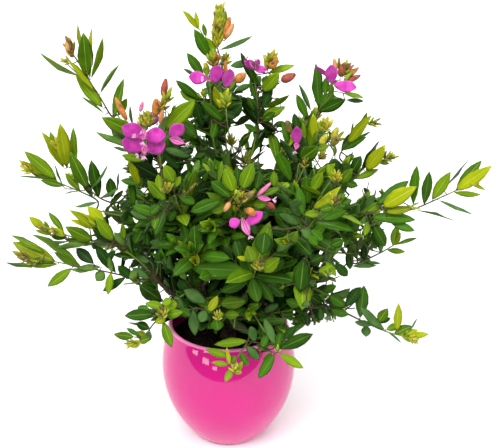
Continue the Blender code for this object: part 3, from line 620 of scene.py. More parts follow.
def bough_paths(count=30):
    """Each bough's points, from beside the trunk to the middle of its shoots' way."""
    fork = trunk_point(TRUNK_HEIGHT)
    paths = {}
    for order, name in enumerate(BOUGHS):
        tips = [np.array(tip) * MM for bough, tip, _ in SHOOTS.values() if bough == name]
        end = lerp(fork, np.mean(tips, axis=0), BOUGH_REACH)
        if name == BOUGHS[-1]:
            start_way = unit(fork - trunk_point(TRUNK_HEIGHT - 2 * MM))
            start = fork + start_way * 1.3 * GAP
        else:
            height = FIRST_BOUGH_AT + order * BOUGH_STEP
            level = unit((end - trunk_point(height)) * [1, 1, 0])
            start_way = level * math.cos(BOUGH_RISE) + UP * math.sin(BOUGH_RISE)
            clear = trunk_radius(height) + GAP + BOUGH_RADIUS * math.sin(BOUGH_RISE)
            start = trunk_point(height) + level * clear
        end_way = unit(unit(end - start) + 0.35 * UP)
        paths[name] = bezier(start, start_way, end, end_way, count)
    return paths


def fan_out(ways, back):
    """The ways turned apart, and away from the bough behind them, until each has its room."""
    ways = [unit(way) for way in ways]
    for _ in range(200):
        pushes = [np.zeros(3) for _ in ways]
        for i, way in enumerate(ways):
            rivals = [(other, FAN_APART) for k, other in enumerate(ways) if k != i]
            for other, room in [*rivals, (back, FAN_BACK)]:
                lack = room - math.acos(np.clip(np.dot(way, other), -1, 1))
                if lack > 0:
                    pushes[i] += unit(way - other + 1e-6) * lack * 0.3
        ways = [unit(way + push) for way, push in zip(ways, pushes)]
    return ways


def stem_curves(coarse, count=41):
    """Each shoot's stem, from its bough's tip to its own tip. The fan is set by the coarse boughs."""
    curves = {}
    for name, path in coarse.items():
        knob = path[-1]
        shoots = [shoot for shoot, (bough, _, _) in SHOOTS.items() if bough == name]
        tips = [np.array(SHOOTS[shoot][1]) * MM for shoot in shoots]
        ways = fan_out([tip - knob for tip in tips], unit(path[-2] - knob))
        for shoot, tip, way in zip(shoots, tips, ways):
            share = np.clip((tip[2] - HANGING_HEIGHT) / (UPRIGHT_HEIGHT - HANGING_HEIGHT), 0, 1)
            rise = lerp(HANGING_RISE, UPRIGHT_RISE, share)
            level = unit((tip - knob) * [1, 1, 0] + tip * [0.5, 0.5, 0])
            end_way = level * math.cos(rise) + UP * math.sin(rise)
            start = knob + way * (KNOB_RADIUS + GAP)
            curves[shoot] = bezier(start, way, tip, end_way, count)
    return curves


# Growth: finer twigs and leaves

class Growth:
    """What one shoot grows: the twigs' paths and a spot for each leaf, bud and flower."""

    def __init__(self, name, curve, kind, bough):
        self.name = name
        self.curve = cut_back(curve, TIP_INSET[kind])
        self.size, self.gap, self.first_twig = HABITS.get(name, USUAL_HABIT)
        self.random = random.Random(name)
        self.turn = self.random.uniform(0, math.tau)
        self.twigs = []
        self.limbs = closer(bough)
        self.leaves = []
        self.tip = curve[-1]

    def grow(self):
        """The stem, what is marked in the photograph, then leaves and side twigs by the rule."""
        back_age = 0
        if self.name in TWIG_MARKS:
            first = placed_on(self.name)[1][0][0]
            nearest = int(np.argmin(np.linalg.norm(self.curve - first, axis=1)))
            self.curve = self.curve[:max(nearest, 3) + 1]
            back_age = 30 * MM
        elif self.name not in LEAF_MARKS:
            good = is_crown(self.curve)
            self.curve = self.curve[:max(4, len(good) if good.all() else int(np.argmin(good[4:])) + 4)]
        self.add_twig(self.curve, *STEM_RADII, 0)
        self.add_placed()
        self.add_leaves(self.curve, self.turn, self.size, back_age, self.gap)
        length = path_length(self.curve)
        for step, back in enumerate(TWIGS_BACK):
            if self.first_twig <= back < length / MM - 5:
                self.add_side_twig(self.curve, step, back * MM)

    def add_side_twig(self, path, step, back):
        """A twig off the stem that curves up towards the light, with its own leaves."""
        root, way = point_back(path, back)
        out = turned_about(square_to(way), way, self.turn + 1 + step * GOLDEN_ANGLE)
        along = unit(way * math.cos(TWIG_ANGLE) + out * math.sin(TWIG_ANGLE))
        length = TWIG_LENGTH * self.random.uniform(0.5, 1.0) * (0.5 + 0.5 * self.size)
        end_way = unit(along + 0.45 * UP)
        twig = bezier(root, along, root + unit(along + 0.2 * UP) * length, end_way, 10)
        if hides_placed(twig[2:]) or not is_crown(twig[5:]).all():
            return
        self.add_twig(twig, *TWIG_RADII, min(back / (110 * MM), 1))
        turn = self.random.uniform(0, math.tau)
        self.add_leaves(twig, turn, self.size * 0.84, back * 0.4 + 13 * MM, 1.0)

    def add_twig(self, path, first, last, age):
        """A twig that tapers from its first to its last radius, kept as a limb to grow on from."""
        self.twigs.append((path, first, last, age))
        self.limbs = np.concatenate([self.limbs, closer(path)])

    def reach(self, root, way, age):
        """A stalk from the nearest limb to a root that has none under it yet."""
        apart = np.linalg.norm(self.limbs - root, axis=1)
        nearest = self.limbs[np.argmin(apart + 0.35 * np.maximum((self.limbs - root) @ UP, 0))]
        if np.linalg.norm(nearest - root) < 0.8 * MM:
            return
        start_way = unit(unit(root - nearest) + 0.3 * UP)
        self.add_twig(bezier(nearest, start_way, root, way, 7), 1.25 * STALK_RADIUS, STALK_RADIUS, age)

    def add_placed(self):
        """The twigs and leaves that the photograph shows, each joined to the nearest limb."""
        _, twigs, leaves = placed_on(self.name)
        for path in twigs:
            first = self.limbs[np.argmin(np.linalg.norm(self.limbs - path[0], axis=1))]
            self.add_twig(rounded(np.concatenate([[first], path])), *MARKED_TWIG_RADII, 0.3)
        for root, tip, width, roll, look in leaves:
            along = unit(tip - root)
            age = MARKED_AGES[look[0]]
            self.reach(root, along, age)
            seen = np.array(CAMERA_PLACE) - root
            normal = turned_about(unit(seen - along * np.dot(seen, along)), along, roll)
            if "u" in look:
                normal = -normal
            self.leaves.append(self.leaf_spot(
                root, along, normal, np.linalg.norm(tip - root), width, age, placed=True))

    def add_leaves(self, path, turn, size, back_age, gap):
        """Leaves in a spiral from the tip down, longer and wider apart the older they are."""
        length = path_length(path)
        for step, millimetres in enumerate(LEAVES_BACK):
            back = millimetres * MM * (gap if millimetres > 8 else 1)
            if back > length - 2.5 * MM:
                return
            point, way = point_back(path, back)
            vary = self.random.uniform
            angle = math.radians(by_table(ANGLE_BY_BACK, back) + vary(-7, 7))
            long = by_table(LENGTH_BY_BACK, back) * MM * size * vary(0.84, 1.1)
            age = min((back + back_age) / OLD_BACK + vary(-0.08, 0.08), 1)
            self.add_leaf(point, way, turn + step * GOLDEN_ANGLE + vary(-0.25, 0.25), angle, long, age)

    def add_leaf(self, root, way, turn, angle, length, age):
        """One leaf, its upper face towards the twig's tip and, when older, towards the light."""
        vary = self.random.uniform
        age = max(age, 0)
        out = turned_about(square_to(way), way, turn)
        along = unit(way * math.cos(angle) + out * math.sin(angle) + UP * 0.22 * age)
        face = way * (1 - 0.4 * age) + UP * 0.7 * age
        normal = face - along * np.dot(face, along)
        if np.linalg.norm(normal) < 0.1:
            normal = way - along * np.dot(way, along)
        slim = LEAF_SLIMNESS * vary(0.85, 1.15) * (0.92 if age < 0.15 else 1)
        self.leaves.append(self.leaf_spot(root, along, unit(normal), length, length * slim, age))

    def leaf_spot(self, root, along, normal, length, width, age, placed=False):
        """Where a leaf stands and how it is shaped, with a bend, fold and twist of its own."""
        vary = self.random.uniform
        return {
            "root": root, "along": along, "normal": normal, "length": length, "width": width,
            "thickness": length * LEAF_THICKNESS_SHARE,
            "bend": vary(-0.2, 0.2) if placed or age < 0.2 else vary(0.0, 0.55),
            "fold": math.radians(vary(12, 26) if age < 0.3 else vary(4, 18)),
            "twist": vary(-0.3, 0.3), "wave": vary(-0.03, 0.03), "age": age, "tone": vary(0, 1),
            "placed": placed,
        }


def cut_back(path, inset):
    """The path without its last stretch, so that its youngest leaves end where it ended."""
    steps = np.linalg.norm(np.diff(path, axis=0), axis=1)
    run = np.concatenate([[0], np.cumsum(steps)])
    wanted = np.linspace(0, run[-1] - inset, len(path))
    return np.stack([np.interp(wanted, run, path[:, k]) for k in range(3)], axis=1)


def closer(path):
    """The path with points between its points, about a millimetre apart."""
    steps = [np.linspace(0, 1, max(2, int(np.linalg.norm(b - a) / MM) + 1), endpoint=False)
             for a, b in zip(path[:-1], path[1:])]
    filled = [lerp(a, b, share) for (a, b), row in zip(zip(path[:-1], path[1:]), steps) for share in row]
    return np.array([*filled, path[-1]])


def rounded(path):
    """The path with its corners cut twice, so that a twig bends and doesn't kink."""
    for _ in range(2):
        quarter = lerp(path[:-1], path[1:], 0.25)
        later = lerp(path[:-1], path[1:], 0.75)
        between = np.stack([quarter, later], axis=1).reshape(-1, 3)
        path = np.concatenate([path[:1], between[1:-1], path[-1:]])
    return path


def in_picture(points):
    """Where points show in the photograph, in its pixels, and how far they are from the camera."""
    away = points - np.array(CAMERA_PLACE)
    cos, sin = math.cos(CAMERA_PITCH), math.sin(CAMERA_PITCH)
    depth = away[..., 1] * cos - away[..., 2] * sin
    rise = away[..., 1] * sin + away[..., 2] * cos
    across = PICTURE_SIZE[0] / 2 + FOCAL_PIXELS * away[..., 0] / depth
    down = PICTURE_SIZE[1] / 2 - FOCAL_PIXELS * rise / depth
    return np.stack([across, down], axis=-1), depth


def sight(place):
    """The way from the camera to a place in the photograph, one unit deep."""
    across = (place[0] - PICTURE_SIZE[0] / 2) / FOCAL_PIXELS
    rise = (PICTURE_SIZE[1] / 2 - place[1]) / FOCAL_PIXELS
    cos, sin = math.cos(CAMERA_PITCH), math.sin(CAMERA_PITCH)
    return np.array([across, cos + rise * sin, rise * cos - sin])


def on_plane(place, y):
    """The point that shows at a place in the photograph and lies at the depth y."""
    way = sight(place)
    return np.array(CAMERA_PLACE) + way * (y - CAMERA_PLACE[1]) / way[1]


def depth_at(line, place):
    """The depth y of the part of a line that shows nearest to a place in the photograph."""
    places, _ = in_picture(line)
    return line[np.argmin(np.linalg.norm(places - place, axis=1)), 1]


@cache
def stems():
    """Every shoot's stem, fanned out by the source's coarse boughs of seven points."""
    return stem_curves(bough_paths(7))


@cache
def placed_on(shoot):
    """The limbs that give a shoot's marks their depth, and the twigs and leaves that are marked."""
    bough = bough_paths()[SHOOTS[shoot][0]]
    line = np.concatenate([closer(bough[len(bough) // 3:]), closer(stems()[shoot])])
    twigs = [np.array([on_plane(mark, depth_at(line, mark)) for mark in marks])
             for marks in TWIG_MARKS.get(shoot, ())]
    line = np.concatenate([line, *[closer(twig) for twig in twigs]])
    leaves = []
    for order, (*mark, width, look) in enumerate(LEAF_MARKS.get(shoot, ())):
        y = depth_at(line, mark[:2])
        root = on_plane(mark[:2], y)
        tip = on_plane(mark[2:], y + LEANS[look[-1]] * min(1, math.dist(mark[:2], mark[2:]) / 30))
        seen = width * PIXEL
        real = max(seen, SLIMMEST_LEAF * np.linalg.norm(tip - root))
        roll = math.acos(seen / real) * (-1) ** order
        leaves.append((root, tip, real, roll, look))
    return line, twigs, leaves


def in_outline(places, outline):
    """Whether each place lies inside the outline, by counting the sides it has to its right."""
    inside = np.zeros(places.shape[:-1], bool)
    for (x0, y0), (x1, y1) in zip(outline, outline[1:] + outline[:1]):
        crosses = (y0 > places[..., 1]) != (y1 > places[..., 1])
        level = x0 + (places[..., 1] - y0) * (x1 - x0) / (y1 - y0 if y1 != y0 else 1)
        inside ^= crosses & (places[..., 0] < level)
    return inside


def is_crown(points):
    """Whether each point shows within the crown's outline and off its sky."""
    places, _ = in_picture(np.asarray(points))
    keep = in_outline(places, CROWN_OUTLINE)
    for x, y, half_x, half_y in SKY_HOLES:
        keep &= ((places[..., 0] - x) / half_x) ** 2 + ((places[..., 1] - y) / half_y) ** 2 > 1
    return keep


@cache
def placed_marks():
    """Where the leaves taken from the photograph show, at four points each, and how far they are."""
    leaves = [leaf for shoot in LEAF_MARKS for leaf in placed_on(shoot)[2]]
    roots, tips = (np.array([leaf[k] for leaf in leaves]) for k in (0, 1))
    return in_picture(np.concatenate([lerp(roots, tips, share) for share in (0.2, 0.45, 0.7, 0.95)]))


def hides_placed(path):
    """Whether a twig would cross in front of a leaf taken from the photograph."""
    places, depths = in_picture(path)
    marks, far = placed_marks()
    apart = np.linalg.norm(places[:, None] - marks[None], axis=2)
    return ((apart < TWIG_CLEARS) & (depths[:, None] < far[None])).any()


def samples(spots, shares):
    """Points along each leaf at the given shares of its length."""
    root = np.array([spot["root"] for spot in spots])
    run = np.array([spot["along"] * spot["length"] for spot in spots])
    return np.stack([root + run * share for share in shares], axis=1)


def shows_well(grown, placed, flowers):
    """Whether grown leaves keep to the crown's outline, off its sky, placed leaves and flowers."""
    leaves = samples(grown, (0.5, 0.75, 1.0))
    keep = is_crown(leaves).all(axis=1)
    places, depths = in_picture(leaves)
    marks, far = in_picture(samples(placed + flowers, (0.2, 0.45, 0.7, 0.9)).reshape(-1, 3))
    far = far + np.repeat([1 * MM, 9 * MM], [4 * len(placed), 4 * len(flowers)])
    for k in range(places.shape[1]):
        apart = np.linalg.norm(places[:, k, None] - marks[None], axis=2)
        hidden = (apart < HIDES_WITHIN) & (depths[:, k, None] < far[None])
        keep &= ~hidden.any(axis=1)
    return keep


def inner_growth(name, path):
    """Short twigs with old leaves along a bough, for the shaded middle of the crown, where their dark old
    greens are painted shade.
    """
    shoot = next(each for each, (bough, _, _) in SHOOTS.items() if bough == name)
    growth = Growth(shoot, path, "leaf", path)
    growth.curve = path
    growth.size = 0.8
    for step in range(INNER_TWIGS):
        back = path_length(path) * lerp(0.02, 0.72, step / INNER_TWIGS)
        growth.add_side_twig(path, step, back)
    # Painted shade: every leaf here is made old, so it takes the darkest greens
    for spot in growth.leaves:
        spot["age"] = max(spot["age"], 0.75)
    return growth


def path_length(path):
    """The length of a path, from point to point."""
    return np.linalg.norm(np.diff(path, axis=0), axis=1).sum()


def point_back(path, back):
    """The path's point and way at a distance back from its tip."""
    steps = np.linalg.norm(np.diff(path, axis=0), axis=1)
    from_tip = np.concatenate([[0], np.cumsum(steps[::-1])])
    flipped = path[::-1]
    point = np.array([np.interp(back, from_tip, flipped[:, k]) for k in range(3)])
    k = max(1, min(int(np.searchsorted(from_tip, back)), len(path) - 1))
    return point, unit(flipped[k - 1] - flipped[k])


def roomy(spots):
    """Whether each leaf keeps to the CAD box and the air above the pot."""
    points = samples(spots, (0.55, 1.0))
    low, high = (np.array(corner) for corner in CAD_BOX)
    keep = ((points > low - BOX_MARGIN) & (points < high + BOX_MARGIN)).all(axis=(1, 2))
    radius = np.hypot(points[..., 0], points[..., 1])
    wall = np.vectorize(lambda z: pot_radius(min(z, POT_HEIGHT)))(points[..., 2])
    in_pot = (points[..., 2] < POT_HEIGHT + POT_CLEARANCE) & (radius < wall + POT_CLEARANCE)
    return keep & ~in_pot.any(axis=1)


def leafy_twig(growth, start, end, dice):
    """A twig from a limb to a place, with its leaves; how many leaves it adds."""
    way = unit(unit(end - start) - 0.25 * UP)
    twig = bezier(start, way, end, unit(unit(end - start) + 0.5 * UP), 9)
    if hides_placed(twig[1:]) or not is_crown(twig[3:]).all():
        return 0
    growth.add_twig(twig, *TWIG_RADII, 0.7)
    before = len(growth.leaves)
    # Painted shade: leaves nearer the crown's middle are made older, so they take darker greens
    outward = np.linalg.norm(end - CROWN_MIDDLE) / CROWN_REACH
    back_age = max(lerp(64, 9, outward) + dice.uniform(-8, 8), 10) * MM
    growth.add_leaves(twig, dice.uniform(0, math.tau), dice.uniform(0.6, 0.8), back_age, 1.0)
    return len(growth.leaves) - before


def lasting_leaves(growths):
    """The leaves grown so far that have room and show within the crown's outline."""
    spots = [spot for growth in growths for spot in growth.leaves]
    good = roomy(spots) & is_crown(samples(spots, (0.75,))).all(axis=1)
    return [spot for spot, kept in zip(spots, good) if kept]


def fill_room(growths):
    """Leafy twigs towards the barest room among the limbs, so that every side of the crown is full."""
    dice = random.Random("room")
    rows = [(k, point) for k, growth in enumerate(growths) for point in growth.limbs[::5]]
    tree = KDTree(len(rows))
    for k, (_, point) in enumerate(rows):
        tree.insert(point, k)
    tree.balance()
    low, high = (np.array(corner) + 10 * MM * side for corner, side in zip(CAD_BOX, (1, -1)))
    low[2] = LOWEST_ROOM
    axes = [np.arange(low[k], high[k], ROOM_STEP) for k in range(3)]
    cells = np.stack(np.meshgrid(*axes, indexing="ij"), axis=-1).reshape(-1, 3)
    cells = cells[is_crown(cells)]
    cells = cells[[tree.find(cell)[2] < ROOM_REACH for cell in cells]]

    def leaves_near(spots):
        middles = samples(spots, (0.5,))[:, 0]
        return (np.linalg.norm(cells[:, None] - middles[None], axis=2) < ROOM_STEP).sum(axis=1)

    covered = leaves_near(lasting_leaves(growths)).astype(float)
    for _ in range(ROOM_TWIGS):
        target = int(np.argmin(covered))
        if covered[target] >= ROOM_ENOUGH:
            return
        near = [row for row in tree.find_n(cells[target], 120) if row[2] > 10 * MM]
        covered[target] += 1
        if not near:
            continue
        _, k, _ = near[dice.randrange(min(len(near), 30))]
        owner, start = rows[k]
        growth = growths[owner]
        added = leafy_twig(growth, start, cells[target], dice)
        if added:
            covered += leaves_near(growth.leaves[-added:])


def fill_gaps(growths):
    """More leafy twigs, each from a near limb towards the barest place in the crown's outline."""
    dice = random.Random("filling")
    camera = np.array(CAMERA_PLACE)
    columns, rows = (range(*ends, FILL_STEP) for ends in (FILL_ACROSS, FILL_DOWN))
    cells = np.array([(x, y) for x in columns for y in rows], float)
    owners = np.concatenate([[k] * len(growth.limbs) for k, growth in enumerate(growths)])
    limbs = np.concatenate([growth.limbs for growth in growths])
    places, depths = in_picture(limbs)

    def leaves_near(spots):
        marks, _ = in_picture(samples(spots, (0.3, 0.6, 0.9)).reshape(-1, 3))
        apart = np.linalg.norm(cells[:, None] - marks[None], axis=2)
        return (apart < 0.7 * FILL_STEP).sum(axis=1)

    cells = cells[[is_crown((camera + sight(cell))[None])[0] for cell in cells]]
    covered = leaves_near(lasting_leaves(growths)).astype(float)
    for _ in range(FILL_TWIGS):
        target = int(np.argmin(covered))
        if covered[target] >= FILL_ENOUGH:
            return
        apart = np.linalg.norm(places - cells[target], axis=1)
        near = np.argsort(apart + np.abs(apart - 14) * 0.5)[:160]
        k = near[dice.randrange(len(near))]
        growth = growths[owners[k]]
        end = camera + sight(cells[target]) * (depths[k] + dice.uniform(-22, 12) * MM)
        length = np.linalg.norm(end - limbs[k])
        covered[target] += 0.7
        if not FILL_LENGTHS[0] < length < FILL_LENGTHS[1]:
            continue
        added = leafy_twig(growth, limbs[k], end, dice)
        if added:
            covered += leaves_near(growth.leaves[-added:])


def grow_all():
    """Every shoot's growth and flowers, with the leaves that have no room left out."""
    curves = stems()
    boughs = bough_paths()
    growths = []
    for name, (bough, _, kind) in SHOOTS.items():
        growth = Growth(name, curves[name], kind, boughs[bough][8:])
        growth.grow()
        growths.append(growth)
    growths += [inner_growth(name, path) for name, path in boughs.items()]
    fill_room(growths)
    fill_gaps(growths)
    spots = [spot for growth in growths for spot in growth.leaves]
    placed = [spot for spot in spots if spot["placed"]]
    grown = [spot for spot in spots if not spot["placed"]]
    wings, keels, pods = flower_parts(growths[:len(SHOOTS)])
    flowers = [row[-1] for row in wings + keels + pods]
    keep = roomy(grown) & shows_well(grown, placed, flowers)
    leaves = placed + [spot for spot, kept in zip(grown, keep) if kept]
    return growths, leaves, wings, keels, pods


# Small shapes that are repeated: each made once by mesh operators

def leaf_outline(share, fullest, bluntness):
    """Half width of a leaf, 1 at its widest, that tapers to a short stalk and a point."""
    return max(math.sin(math.pi * share**fullest), 0) ** bluntness


def petal_outline(share):
    """Half width of a wing petal: narrow at its claw, widest past the middle, bluntly pointed."""
    return max(math.sin(math.pi * share**1.2), 0) ** (0.5 + 0.4 * share)


def blade_template(columns, rows, outline, ends):
    """A closed blade of two faces that meet along the outline. X runs across, Y from root to tip."""
    bm = bmesh.new()
    layer = bm.loops.layers.uv.new("blade")
    bmesh.ops.create_grid(bm, x_segments=columns, y_segments=rows, size=1)
    for face in bm.faces:
        for loop in face.loops:
            loop[layer].uv = ((loop.vert.co.x + 1) / 2, (loop.vert.co.y + 1) / 2)
    lower = bmesh.ops.duplicate(bm, geom=bm.verts[:] + bm.edges[:] + bm.faces[:])["geom"]
    lower_faces = [item for item in lower if isinstance(item, bmesh.types.BMFace)]
    lower_verts = {item for item in lower if isinstance(item, bmesh.types.BMVert)}
    bmesh.ops.reverse_faces(bm, faces=lower_faces)
    for face in lower_faces:
        face.material_index = 1
    for vert in bm.verts:
        across = vert.co.x
        share = ease((vert.co.y + 1) / 2, ends)
        swell = (1 - across**2) * min(1, 6 * share * (1 - share))
        side = -1 if vert in lower_verts else 1
        vert.co = (across * outline(share), share, side * swell)
    bmesh.ops.remove_doubles(bm, verts=bm.verts, dist=1e-5)
    return arrays_of(bm)


def ease(share, ends):
    """The share moved towards the blade's ends, where the outline turns most."""
    return share - ends * math.sin(math.tau * share) / math.tau


def pod_template(segments, rings):
    """A closed bud, round in section, along Y from root to a blunt point."""
    bm = bmesh.new()
    bmesh.ops.create_uvsphere(bm, u_segments=segments, v_segments=rings, radius=1)
    for vert in bm.verts:
        share = (vert.co.z + 1) / 2
        slim = 1 - 0.35 * share
        vert.co = (vert.co.x * slim, share, vert.co.y * slim)
    bmesh.ops.recalc_face_normals(bm, faces=bm.faces)
    return arrays_of(bm)


def arrays_of(bm):
    """The bmesh as plain arrays, ready to be repeated."""
    bm.verts.index_update()
    layer = bm.loops.layers.uv.active
    corners = [loop for face in bm.faces for loop in face.loops]
    made = {
        "points": np.array([vert.co[:] for vert in bm.verts]),
        "corners": np.array([loop.vert.index for loop in corners]),
        "sizes": np.array([len(face.loops) for face in bm.faces]),
        "kinds": np.array([face.material_index for face in bm.faces]),
        "map": np.array([loop[layer].uv[:] for loop in corners]) if layer else None,
    }
    bm.free()
    return made


def bent(template, spots):
    """Copies of a blade, each folded, twisted and bent along its length, in place: (spot, point, 3)."""
    column = {key: np.array([spot[key] for spot in spots])[:, None]
              for key in ("length", "width", "thickness", "bend", "fold", "twist", "wave")}
    across, share, swell = template["points"].T
    x = across * column["width"] / 2
    proud = swell * column["thickness"] / 2
    lift = np.abs(x) * np.sin(column["fold"]) + proud
    lift = lift + column["wave"] * column["length"] * np.sin(math.tau * 1.6 * share) * across**2
    x = x * np.cos(column["fold"])
    turn = column["twist"] * share
    x, lift = x * np.cos(turn) - lift * np.sin(turn), x * np.sin(turn) + lift * np.cos(turn)
    bend = np.where(np.abs(column["bend"]) < 1e-3, 1e-3, column["bend"])
    angle = bend * share
    y = column["length"] * np.sin(angle) / bend + lift * np.sin(angle)
    z = -column["length"] * (1 - np.cos(angle)) / bend + lift * np.cos(angle)
    return in_place(spots, x, y, z)


def swollen(template, spots):
    """Copies of a pod, each stretched to its size, in place."""
    column = {key: np.array([spot[key] for spot in spots])[:, None]
              for key in ("length", "width", "thickness")}
    x, y, z = template["points"].T
    return in_place(
        spots, x * column["width"] / 2, y * column["length"], z * column["thickness"] / 2
    )


def in_place(spots, x, y, z):
    """Points given across, along and above each spot, moved to where the spot stands."""
    along = np.array([spot["along"] for spot in spots])[:, None]
    normal = np.array([spot["normal"] for spot in spots])[:, None]
    root = np.array([spot["root"] for spot in spots])[:, None]
    across = np.cross(along, normal)
    return root + across * x[..., None] + along * y[..., None] + normal * z[..., None]


def joined(name, template, points, values, materials):
    """One mesh object from many placed copies of a template, with a value of its own for each."""
    count, each = points.shape[:2]
    corners = template["corners"][None] + np.arange(count)[:, None] * each
    sizes = np.tile(template["sizes"], count)
    mesh = bpy.data.meshes.new(name)
    mesh.vertices.add(count * each)
    mesh.vertices.foreach_set("co", points.astype(np.float32).ravel())
    mesh.loops.add(corners.size)
    mesh.loops.foreach_set("vertex_index", corners.astype(np.int32).ravel())
    mesh.polygons.add(len(sizes))
    starts = np.concatenate([[0], np.cumsum(sizes)[:-1]])
    mesh.polygons.foreach_set("loop_start", starts.astype(np.int32))
    mesh.polygons.foreach_set("material_index", np.tile(template["kinds"], count).astype(np.int32))
    if template["map"] is not None:
        layer = mesh.uv_layers.new(name="blade")
        layer.uv.foreach_set("vector", np.tile(template["map"], (count, 1)).astype(np.float32).ravel())
    for key, numbers in values.items():
        attribute = mesh.attributes.new(key, "FLOAT", "POINT")
        attribute.data.foreach_set("value", np.repeat(numbers, each).astype(np.float32))
    mesh.update(calc_edges=True)
    mesh.validate()
    mesh.shade_smooth()
    return place_piece(name, mesh, materials)


def place_piece(name, mesh, materials):
    """An object for the mesh, in the scene and riding on the root."""
    for each in materials:
        mesh.materials.append(each)
    thing = in_scene(name, mesh)
    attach(thing, "root")
    return thing


def in_scene(name, data):
    """An object for the data, linked to the scene."""
    thing = bpy.data.objects.new(name, data)
    bpy.context.scene.collection.objects.link(thing)
    return thing


def tubes(name, twigs, sides, materials):
    """One mesh object of closed tapering tubes along the twigs, with an age for each ring."""
    points, faces, ages = [], [], []
    for path, first, last, age in twigs:
        start = len(points)
        tangents = np.gradient(path, axis=0)
        side = square_to(unit(tangents[0]))
        radii = np.linspace(first, last, len(path))
        for k, (point, tangent) in enumerate(zip(path, tangents)):
            way = unit(tangent)
            side = unit(side - way * np.dot(side, way))
            other = np.cross(way, side)
            for turn in np.arange(sides) * math.tau / sides:
                points.append(point + radii[k] * (side * math.cos(turn) + other * math.sin(turn)))
                ages.append(lerp(min(age + 0.75, 1), age, k / (len(path) - 1)))
        for k in range(len(path) - 1):
            low = start + k * sides
            faces += [(low + i, low + (i + 1) % sides, low + sides + (i + 1) % sides, low + sides + i)
                      for i in range(sides)]
        faces.append(tuple(range(start + sides - 1, start - 1, -1)))
        faces.append(tuple(range(len(points) - sides, len(points))))
    mesh = bpy.data.meshes.new(name)
    mesh.from_pydata(points, [], faces)
    attribute = mesh.attributes.new("age", "FLOAT", "POINT")
    attribute.data.foreach_set("value", np.array(ages, np.float32))
    mesh.shade_smooth()
    return place_piece(name, mesh, materials)


# Materials

def linear(code):
    """A linear colour from an sRGB hex code."""
    parts = [int(code[k:k + 2], 16) / 255 for k in (1, 3, 5)]
    return tuple(
        part / 12.92 if part <= 0.04045 else ((part + 0.055) / 1.055) ** 2.4 for part in parts
    ) + (1.0,)


def add_node(tree, kind, values=(), links=(), **settings):
    """A node with its properties, its sockets' values, and the outputs that feed it."""
    made = tree.nodes.new(kind)
    for name, value in settings.items():
        setattr(made, name, value)
    for socket, value in dict(values).items():
        made.inputs[socket].default_value = value
    for socket, source in dict(links).items():
        tree.links.new(source, made.inputs[socket])
    return made


def start_material(name, **values):
    """A new Principled material, its node tree and its shader, with values on the shader's sockets."""
    made = bpy.data.materials.new(name)
    made.use_nodes = True
    shader = made.node_tree.nodes["Principled BSDF"]
    for socket, value in values.items():
        shader.inputs[socket.replace("_", " ")].default_value = value
    return made, made.node_tree, shader


def clouds(tree, scale, detail, place=None, **values):
    """Cloudy noise over the object's own coordinates, or over a place made from them."""
    if place is None:
        place = add_node(tree, "ShaderNodeTexCoord").outputs["Object"]
    values = {"Scale": scale, "Detail": detail, **values}
    return add_node(tree, "ShaderNodeTexNoise", values, {"Vector": place}).outputs[0]


def ranged(tree, value, low, high, top=1.0, smooth=False):
    """A value drawn out from 0 at low to the top at high, and held level beyond them."""
    return add_node(
        tree, "ShaderNodeMapRange", {"From Min": low, "From Max": high, "To Max": top},
        {"Value": value}, interpolation_type="SMOOTHSTEP" if smooth else "LINEAR").outputs[0]


def reckon(tree, operation, *terms):
    """The result of one operation on its terms, each a number or a node's output."""
    numbers = {k: term for k, term in enumerate(terms) if isinstance(term, (int, float))}
    outputs = {k: term for k, term in enumerate(terms) if k not in numbers}
    return add_node(tree, "ShaderNodeMath", numbers, outputs, operation=operation).outputs[0]


def blend(tree, share, first, last):
    """Two colours mixed by a share, each of them a hex code or a node's output."""
    pair = {6: first, 7: last}
    codes = {k: linear(colour) for k, colour in pair.items() if isinstance(colour, str)}
    outputs = {k: colour for k, colour in pair.items() if k not in codes}
    return add_node(tree, "ShaderNodeMix", codes, {0: share, **outputs}, data_type="RGBA").outputs[2]


def blade_parts(tree):
    """Outputs that say where on its blade a point lies: X from edge to edge, Y from root to tip."""
    blade = add_node(tree, "ShaderNodeUVMap", uv_map="blade")
    return add_node(tree, "ShaderNodeSeparateXYZ", {}, {0: blade.outputs[0]}).outputs


def finish_skin(made, shader, colour, height=None, strength=0.0, distance=0.0):
    """The material with its colour and, where a height is given, its relief."""
    tree = made.node_tree
    tree.links.new(colour, shader.inputs["Base Color"])
    if height is not None:
        values = {"Strength": strength, "Distance": distance}
        bump = add_node(tree, "ShaderNodeBump", values, {"Height": height})
        tree.links.new(bump.outputs[0], shader.inputs["Normal"])
    return made


def leaf_skin(name, light, dark, rib, rough):
    """Upper face of a living leaf: a smooth waxy skin over green flesh.

    Clouds of about 14 mm and the leaf's own tone vary the green. The midrib and the thin margin
    are paler, and faint side veins 3 mm apart slant off the midrib and lift the skin a little.
    """
    made, tree, shader = start_material(name, Roughness=rough, IOR=1.45, Specular_IOR_Level=0.12)
    tone = add_node(tree, "ShaderNodeAttribute", attribute_name="tone").outputs["Fac"]
    share = ranged(tree, reckon(tree, "ADD", clouds(tree, 70, 3), tone), 0.4, 1.5)
    green = blend(tree, share, dark, light)
    blade = blade_parts(tree)
    across = reckon(tree, "ABSOLUTE", reckon(tree, "SUBTRACT", blade["X"], 0.5))
    midrib = ranged(tree, across, 0.05, 0.012, 0.5, smooth=True)
    margin = ranged(tree, across, 0.44, 0.5, 0.35, smooth=True)
    slant = reckon(tree, "MULTIPLY_ADD", across, -0.55, blade["Y"])
    wave = reckon(tree, "SINE", reckon(tree, "MULTIPLY", slant, 88))
    veins = ranged(tree, wave, 0.72, 1, 0.12, smooth=True)
    lines = reckon(tree, "MAXIMUM", reckon(tree, "MAXIMUM", midrib, margin), veins)
    return finish_skin(made, shader, blend(tree, lines, green, rib), lines, 0.3, 0.0004)


